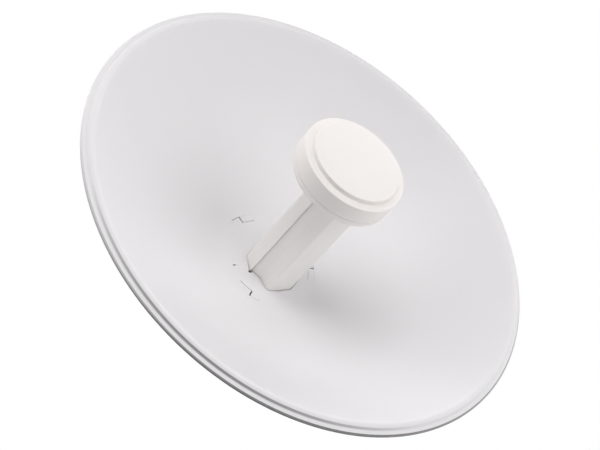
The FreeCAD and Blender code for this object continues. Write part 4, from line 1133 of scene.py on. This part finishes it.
class MakeFeedArm(bpy.types.Operator):
    """Make the feed arm's cover and tray and its tail cap"""

    bl_idname = "dish.make_feed_arm"
    bl_label = "Make Feed Arm"

    def execute(self, context):
        a = context.scene.dish.arm
        seat = context.scene.dish.reflector.seat_ahead
        sections = [(a.rear_ahead, 1.0), (seat, 1.0), (a.front_ahead, a.draft)]
        chain = mirrored([
            (a.lip_x, a.split_z, 0),
            (a.shoulder_x, a.shoulder_z, a.corner),
            (a.crown_x, a.crown_z, a.corner),
        ])
        catch_x, catch_rear, catch_front = 0.0025, 0.049, 0.071
        catch_low, catch_high = 0.0154, 0.0176
        catch = box_outline(-catch_x, catch_x, catch_rear, catch_front)
        cover = combined(
            wall_shell(chain, 1, a.wall, sections), [prism(catch, "Z", catch_low, catch_high)]
        )
        settle_piece(cover, "feed_cover_shell", "feed", "feed_grey", "feed_cover")
        chain = mirrored([
            (a.channel_x, a.split_z, 0),
            (a.channel_x, a.channel_z, 0.0010),
            (a.flank_x, a.flank_z, a.corner),
            (a.facet_x, a.facet_z, a.corner),
            (a.keel_x, a.keel_z, a.corner),
        ])
        tools = self.keel_holes(a)
        for side in SIDES:
            inner = side * (a.channel_x - a.lip_groove)
            outer = side * (a.channel_x + 0.002)
            low, high = a.split_z - a.lip_groove, a.split_z + 0.002
            groove = [(inner, low), (outer, low), (outer, high), (inner, high)]
            tools.append(tapered(groove, sections))
        tray = combined(wall_shell(chain, -1, a.wall, sections), tools)
        settle_piece(tray, "feed_tray_shell", "feed", "feed_grey", "feed_tray")
        cap = softened_copy("tail_cap", 0.0004)
        settle_piece(cap, "tail_cap_plate", "feed", "feed_grey", "tail_cap", degrees=None)
        return {"FINISHED"}

    def keel_holes(self, a):
        """The socket's mouth, and the holes of the status lights and the reset button."""
        below = a.keel_z - 0.001
        low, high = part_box("ethernet_jack")
        gap = 0.0002
        mouth = box_outline(low.x - gap, high.x + gap, -high.y - gap, -low.y + gap, 0.0004, 2)
        holes = [prism(mouth, "Z", below, -0.025)]
        low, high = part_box("status_lights")
        ahead = -(low.y + high.y) / 2
        reach = high.x - (high.y - low.y) / 2
        rounds = [(x, ahead, 0.00104, 20) for x in (-reach, 0, reach)]
        low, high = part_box("reset_button")
        rounds.append((0, -(low.y + high.y) / 2, 0.0021, 24))
        return holes + [prism(circle(*hole), "Z", below, -0.029) for hole in rounds]


class MakeHousing(bpy.types.Operator):
    """Make the rear housing, its cover, the release button and the port door"""

    bl_idname = "dish.make_housing"
    bl_label = "Make Housing"

    def execute(self, context):
        h = context.scene.dish.housing
        s = context.scene.dish.reflector
        a = context.scene.dish.arm
        for node, name, body, edge in (
            ("rear_housing", "housing_shell", "head", h.edge * 0.3),
            ("housing_cover", "housing_back", "head", h.edge),
            ("port_door", "port_door_panel", "door", h.door_edge),
            ("release_button", "release_pad", "release", h.button_edge),
        ):
            settle_piece(softened_copy(node, edge), name, body, "housing_white", node, degrees=None)
        rear = h.front_ahead - 0.0002
        strips = [
            prism(points, "Y", rear, h.front_ahead + h.foam)
            for points in window_outlines(s, 0.0001, 0.004)
        ]
        # A black rubber patch behind each notch at the cover's lip is painted shade: it makes the
        # notch read as a dark gap.
        for side in SIDES:
            reach = 0.0004 + a.lip_notch
            near, far = sorted((side * (a.lip_x + 0.0004), side * (a.lip_x + reach)))
            patch = box_outline(near, far, a.split_z - 0.0036, a.split_z + 0.0012)
            strips.append(prism(patch, "Y", rear, s.seat_ahead - 0.0003))
        settle_piece(joined("strips", strips), "window_foam_and_notch_shade", "head", "seal_rubber")
        return {"FINISHED"}


class MakeMount(bpy.types.Operator):
    """Make the steel pole bracket and clamp jaw"""

    bl_idname = "dish.make_mount"
    bl_label = "Make Mount"

    def execute(self, context):
        edge = context.scene.dish.fasteners.plate_edge
        for node, name, body in (
            ("pole_bracket", "bracket_plate", "bracket"),
            ("clamp_jaw", "jaw_plate", "jaw"),
        ):
            settle_piece(softened_copy(node, edge), name, body, "zinc_steel", node, degrees=None)
        return {"FINISHED"}


class MakeScrews(bpy.types.Operator):
    """Make the cross-recessed screws of the housing, drum and tail cap"""

    bl_idname = "dish.make_screws"
    bl_label = "Make Screws"

    def cross_screw(self, rear, head, depth, shank, tip, dome, material):
        """One screw whose head looks back, with a cross recess."""
        neck = rear + depth
        corners = [
            (0, rear, 0),
            (head, rear, dome),
            (head, neck, 0.0002),
            (shank, neck, 0),
            (shank, tip - shank, 0),
            (shank * 0.4, tip, 0),
            (0, tip, 0),
        ]
        body = turned(corners, 32, material, steps=3)
        wide = head * 0.62
        thin = head * 0.15
        cross = []
        for sine, cosine in ((0, 1), (1, 0), (0, -1), (-1, 0)):
            for x, y in ((wide, thin), (thin, thin), (thin, wide)):
                cross.append((x * cosine - y * sine, x * sine + y * cosine))
        return combined(body, [prism(cross, "Y", rear - 0.001, rear + depth * 0.7)])

    def execute(self, context):
        f = context.scene.dish.fasteners
        material = finish("screw_steel")
        drum_reach = f.drum_screw_pitch * math.sqrt(2)
        tail_height = f.tail_screw_high - f.tail_screw_low
        tail_middle = (f.tail_screw_high + f.tail_screw_low) / 2
        cover_rear = 0.0001 - COVER_HIGH.y
        drum_rear = 0.0001 + context.scene.dish.drum.rear_ahead
        tail_rear = -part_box("tail_screws")[1].y
        # Rear, head's radius and depth, shank's radius, tip, dome; then spacing and middle.
        rows = {
            ("cover_screws", "cover_screw_set", "head"): (
                (cover_rear, 0.0029, 0.0017, 0.0015, 0.060, 0.0006),
                2 * f.cover_screw_x, 2 * f.cover_screw_z, 0.0,
            ),
            ("drum_screws", "drum_screw_set", "feed"): (
                (drum_rear, 0.0026, 0.0012, 0.00145, 0.226, 0.0005),
                drum_reach, drum_reach, 0.0,
            ),
            ("tail_screws", "tail_screw_set", "feed"): (
                (tail_rear, 0.0024, 0.0012, 0.0013, 0.058, 0.0007),
                2 * f.tail_screw_x, tail_height, tail_middle,
            ),
        }
        for (node, name, body), (sizes, width, height, middle) in rows.items():
            mesh = grown(
                self.cross_screw(*sizes, material), "Copies in Rows", columns=2, rows=2,
                width=width, height=height, centre=(0.0, 0.0, middle), material=material,
            )
            settle_piece(mesh, name, body, "screw_steel", node)
        return {"FINISHED"}


class MakeBolts(bpy.types.Operator):
    """Make the side bolts, carriage bolts, washers and nuts"""

    bl_idname = "dish.make_bolts"
    bl_label = "Make Bolts"

    def execute(self, context):
        f = context.scene.dish.fasteners
        steel = finish("bolt_steel")
        self.side_bolts(f, steel)
        self.carriage_bolts(f, steel)
        self.washers_and_nuts(f, steel)
        return {"FINISHED"}

    def threaded(self, body, f, steel, start, length):
        """A shank with the ridge of its thread."""
        return grown(
            body, "Screw Thread", radius=f.bolt_radius, depth=f.thread_depth,
            pitch=f.thread_pitch, start=start, length=length, material=steel,
        )

    def side_bolts(self, f, steel):
        """Chamfered hexagon heads that face left and right, with threads on their shanks."""
        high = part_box("pivot_bolts")[1]
        depth = high.x - f.side_seat
        radius = high.z
        chamfer = [
            (0, 0, 0),
            (radius * 0.97, 0, 0),
            (radius * 1.02, 0.0004, 0),
            (radius * 1.02, depth * 0.78, 0),
            (radius * 0.80, depth, 0),
            (0, depth, 0),
        ]
        head = prism(hex_outline(radius), "Y", 0.0, depth)
        head = combined(head, [turned(chamfer, 48, steel)], "INTERSECT")
        tip = f.shank_end - f.side_seat
        core = f.bolt_radius - 2 * f.thread_depth
        shank = [
            (0, tip, 0),
            (core, tip + 0.0004, 0),
            (core, -0.006, 0),
            (f.bolt_radius, -0.0055, 0),
            (f.bolt_radius, 0.0002, 0),
            (0, 0.0002, 0),
        ]
        body = combined(head, [turned(shank, 32, steel)], "UNION")
        body = self.threaded(body, f, steel, tip + 0.0008, -tip - 0.0065)
        body.transform(Matrix.Rotation(QUARTER_TURN, 4, "Z"))
        for node, name, z in (
            ("pivot_bolts", "pivot_bolt_pair", 0.0),
            ("lock_bolts", "lock_bolt_pair", f.lock_z),
        ):
            centre = (0.0, -f.pivot_ahead, z)
            mesh = pair_of(body, 2 * f.side_seat, steel, centre=centre, turn_left_side=math.pi)
            settle_piece(mesh, name, "head", "bolt_steel", node)

    def carriage_bolts(self, f, steel):
        """Carriage bolts with round heads, square necks and long threads."""
        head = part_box("carriage_bolts")[1].x - f.clamp_bolt_x
        core = f.bolt_radius - 2 * f.thread_depth
        face, tip, thread_end = f.clamp_face, f.clamp_tip, f.clamp_thread_end
        shape = [
            (0, tip, 0),
            (core - 0.0005, tip, 0),
            (core, tip + 0.0006, 0),
            (core, thread_end, 0),
            (f.bolt_radius, thread_end + 0.0006, 0),
            (f.bolt_radius, face - 0.0005, 0),
            (head, face - 0.00001, 0.0001),
            (head, face + 0.0007, 0.0004),
            (head * 0.72, face + 0.0024, 0.0012),
            (head * 0.3, face + 0.0032, 0.0010),
            (0, face + 0.0032, 0),
        ]
        half = 0.00295
        square = box_outline(-half, half, -half, half, 0.0002, 1)
        neck = prism(square, "Y", face - 0.003, face + 0.0002)
        body = combined(turned(shape, 40, steel), [neck], "UNION")
        body = self.threaded(body, f, steel, tip + 0.0006, thread_end - tip - 0.0006)
        mesh = pair_of(body, 2 * f.clamp_bolt_x, steel)
        settle_piece(mesh, "carriage_bolt_pair", "bracket", "bolt_steel", "carriage_bolts")

    def washers_and_nuts(self, f, steel):
        """The clamp's round washers and chamfered nuts."""
        low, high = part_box("clamp_washers")
        inner = f.bolt_radius + 0.0003
        outer = high.x - f.clamp_bolt_x
        ring = [
            (inner, -high.y, 0),
            (outer, -high.y, 0.0003),
            (outer, -low.y, 0.0003),
            (inner, -low.y, 0),
        ]
        mesh = pair_of(turned(ring, 48, steel, closed=True), 2 * f.clamp_bolt_x, steel)
        settle_piece(mesh, "clamp_washer_pair", "jaw", "bolt_steel", "clamp_washers")
        low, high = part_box("clamp_nuts")
        rear, front, radius = -high.y, -low.y, high.z
        inner = f.bolt_radius + 0.00008
        shape = [
            (inner, rear + 0.0004, 0),
            (f.bolt_radius + 0.0005, rear, 0),
            (radius * 0.84, rear, 0),
            (radius * 1.02, rear + 0.0009, 0),
            (radius * 1.02, front - 0.0003, 0),
            (radius * 0.95, front, 0),
            (inner, front, 0),
        ]
        nut = prism(hex_outline(radius), "Y", rear, front)
        nut = combined(nut, [turned(shape, 48, steel, closed=True)], "INTERSECT")
        mesh = pair_of(nut, 2 * f.clamp_bolt_x, steel)
        settle_piece(mesh, "clamp_nut_pair", "jaw", "bolt_steel", "clamp_nuts")


class MakeSmallParts(bpy.types.Operator):
    """Make the network socket's contacts and the release button's spring"""

    bl_idname = "dish.make_small_parts"
    bl_label = "Make Small Parts"

    def execute(self, context):
        h = context.scene.dish.housing
        rear = -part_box("ethernet_jack")[1].y + 0.0025
        roof = -0.012
        wire = 0.0002
        line = outline([
            (rear + wire, roof - 0.001, 0),
            (rear + 3 * wire, roof - 0.001, 0),
            (rear + 0.0030, roof - 0.0105, 0.0006),
            (rear + 0.0014, roof - 0.0130, 0),
            (rear + 0.0014 - wire, roof - 0.0128, 0),
            (rear + 0.0026, roof - 0.0105, 0.0006),
        ], 3)
        mesh = grown(
            prism(line, "X", -wire, wire), "Copies in Rows", columns=8, rows=1,
            width=7 * h.contact_pitch, height=0.0, material=finish("insert_brass"),
        )
        settle_piece(mesh, "socket_contacts", "feed", "insert_brass")
        coil = frame["nodes"]["release_spring"].data.copy()
        spring = settle_piece(coil, "release_coil", None, "spring_steel", "release_spring")
        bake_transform(spring)
        return {"FINISHED"}


class DressFrame(bpy.types.Operator):
    """Give every CAD node that is kept the finish of its slot"""

    bl_idname = "dish.dress_frame"
    bl_label = "Dress Frame"

    def execute(self, context):
        slots = {part["node"]: part["material_slot"] for part in frame["record"]["subparts"]}
        for node, piece in frame["nodes"].items():
            if not piece.material_slots:
                piece.data.materials.append(finish(slots[node]))
            for place in piece.material_slots:
                place.link = "OBJECT"
                place.material = finish(slots[node])
        return {"FINISHED"}


class MakeStage(bpy.types.Operator):
    """Make the pale floor, the soft studio light and the camera"""

    bl_idname = "dish.make_stage"
    bl_label = "Make Stage"

    def soft_light(self, name, tilt, clock, strength, settings):
        """A wide distant light, by its angle off the dish's axis and its clock angle from +Z."""
        light = bpy.data.lights.new(name, "SUN")
        light.angle = settings.light_spread
        light.energy = strength * settings.light_level
        lamp = linked(name, light)
        sine, cosine = math.sin(math.radians(tilt)), math.cos(math.radians(tilt))
        clock = math.radians(clock)
        towards = Vector((sine * math.sin(clock), -cosine, sine * math.cos(clock)))
        lamp.location = towards * 2
        lamp.rotation_euler = towards.to_track_quat("Z", "Y").to_euler()
        return lamp

    def surround(self, settings):
        """White behind the object, and a dim light on it that is brighter from the right."""
        world = bpy.data.worlds.new("studio_surround")
        world.use_nodes = True
        tree = world.node_tree
        tree.nodes.clear()
        where = add(tree, "ShaderNodeTexCoord").outputs["Generated"]
        parts = add(tree, "ShaderNodeSeparateXYZ", {0: where})
        glow = spread_over(tree, parts, -1.0, 1.0, 0.0, settings.glow)
        lit, seen = (
            add(tree, "ShaderNodeBackground", {"Color": (1, 1, 1, 1), "Strength": strength})
            for strength in (glow, 1.0)
        )
        rays = add(tree, "ShaderNodeLightPath").outputs["Is Camera Ray"]
        choice = add(tree, "ShaderNodeMixShader", {0: rays, 1: lit, 2: seen})
        add(tree, "ShaderNodeOutputWorld", {0: choice})
        return world

    def execute(self, context):
        scene = context.scene
        settings = scene.dish.studio
        reflector = scene.dish.reflector
        rim = Vector((0, reflector.rim_drop - reflector.crest_ahead, 0))
        view = (
            Matrix.Rotation(settings.heading, 4, "Z")
            @ Matrix.Rotation(QUARTER_TURN, 4, "X")
            @ Matrix.Rotation(settings.roll, 4, "Z")
        )
        right, up, back = (view.to_3x3().col[index] for index in range(3))
        lens = bpy.data.cameras.new("view")
        lens.lens = settings.lens
        lens.sensor_width = 36
        lens.clip_start = 0.05
        camera = linked("view", lens)
        aim = rim + right * settings.slide_right + up * settings.slide_up
        camera.matrix_world = Matrix.Translation(aim + back * settings.distance) @ view
        scene.camera = camera
        scene.view_settings.view_transform = "Standard"
        scene.world = self.surround(settings)
        for name, tilt, clock, strength in SOFT_LIGHTS:
            self.soft_light(name, tilt, clock, strength, settings)
        edge = [(x, y, settings.floor_drop) for x, y in circle(0, 0, settings.floor_radius, 64)]
        floor = linked("studio_floor", mesh_of("studio_floor", edge, [range(len(edge))]))
        soft = ("Surface Grain", {"fine_scale": 300.0, "broad_scale": 3.0, "broad_share": 0.5})
        floor.data.materials.append(
            make_finish("floor_paper", (0.86, 0.86, 0.86), soft, (0.8, 0.9), 0.0001, 0.01)
        )
        return {"FINISHED"}


PIECES = (
    MakeFinishes,
    MakeReflector,
    MakeDrum,
    MakeFeedArm,
    MakeHousing,
    MakeMount,
    MakeScrews,
    MakeBolts,
    MakeSmallParts,
    DressFrame,
    MakeStage,
)


class DishPanel(bpy.types.Panel):
    """The dish antenna's pieces and sizes"""

    bl_idname = "VIEW3D_PT_dish_antenna"
    bl_label = "Dish Antenna"
    bl_space_type = "VIEW_3D"
    bl_region_type = "UI"
    bl_category = "Dish"

    def draw(self, context):
        layout = self.layout
        for piece in PIECES:
            layout.operator(piece.bl_idname)
        settings = context.scene.dish
        for group in DishSettings.__annotations__:
            box = layout.box()
            box.label(text=group.title())
            part = getattr(settings, group)
            for key in type(part).__annotations__:
                box.prop(part, key)


CLASSES = (
    ReflectorSizes,
    ArmSizes,
    DrumSizes,
    HousingSizes,
    FastenerSizes,
    FinishColours,
    StudioSettings,
    DishSettings,
    *PIECES,
    DishPanel,
)


def register():
    for item in CLASSES:
        bpy.utils.register_class(item)
    bpy.types.Scene.dish = PointerProperty(type=DishSettings)


def unregister():
    del bpy.types.Scene.dish
    for item in reversed(CLASSES):
        bpy.utils.unregister_class(item)


def main():
    register()
    for piece in PIECES:
        family, action = piece.bl_idname.split(".")
        getattr(getattr(bpy.ops, family), action)()


if __name__ == "__main__":
    main()
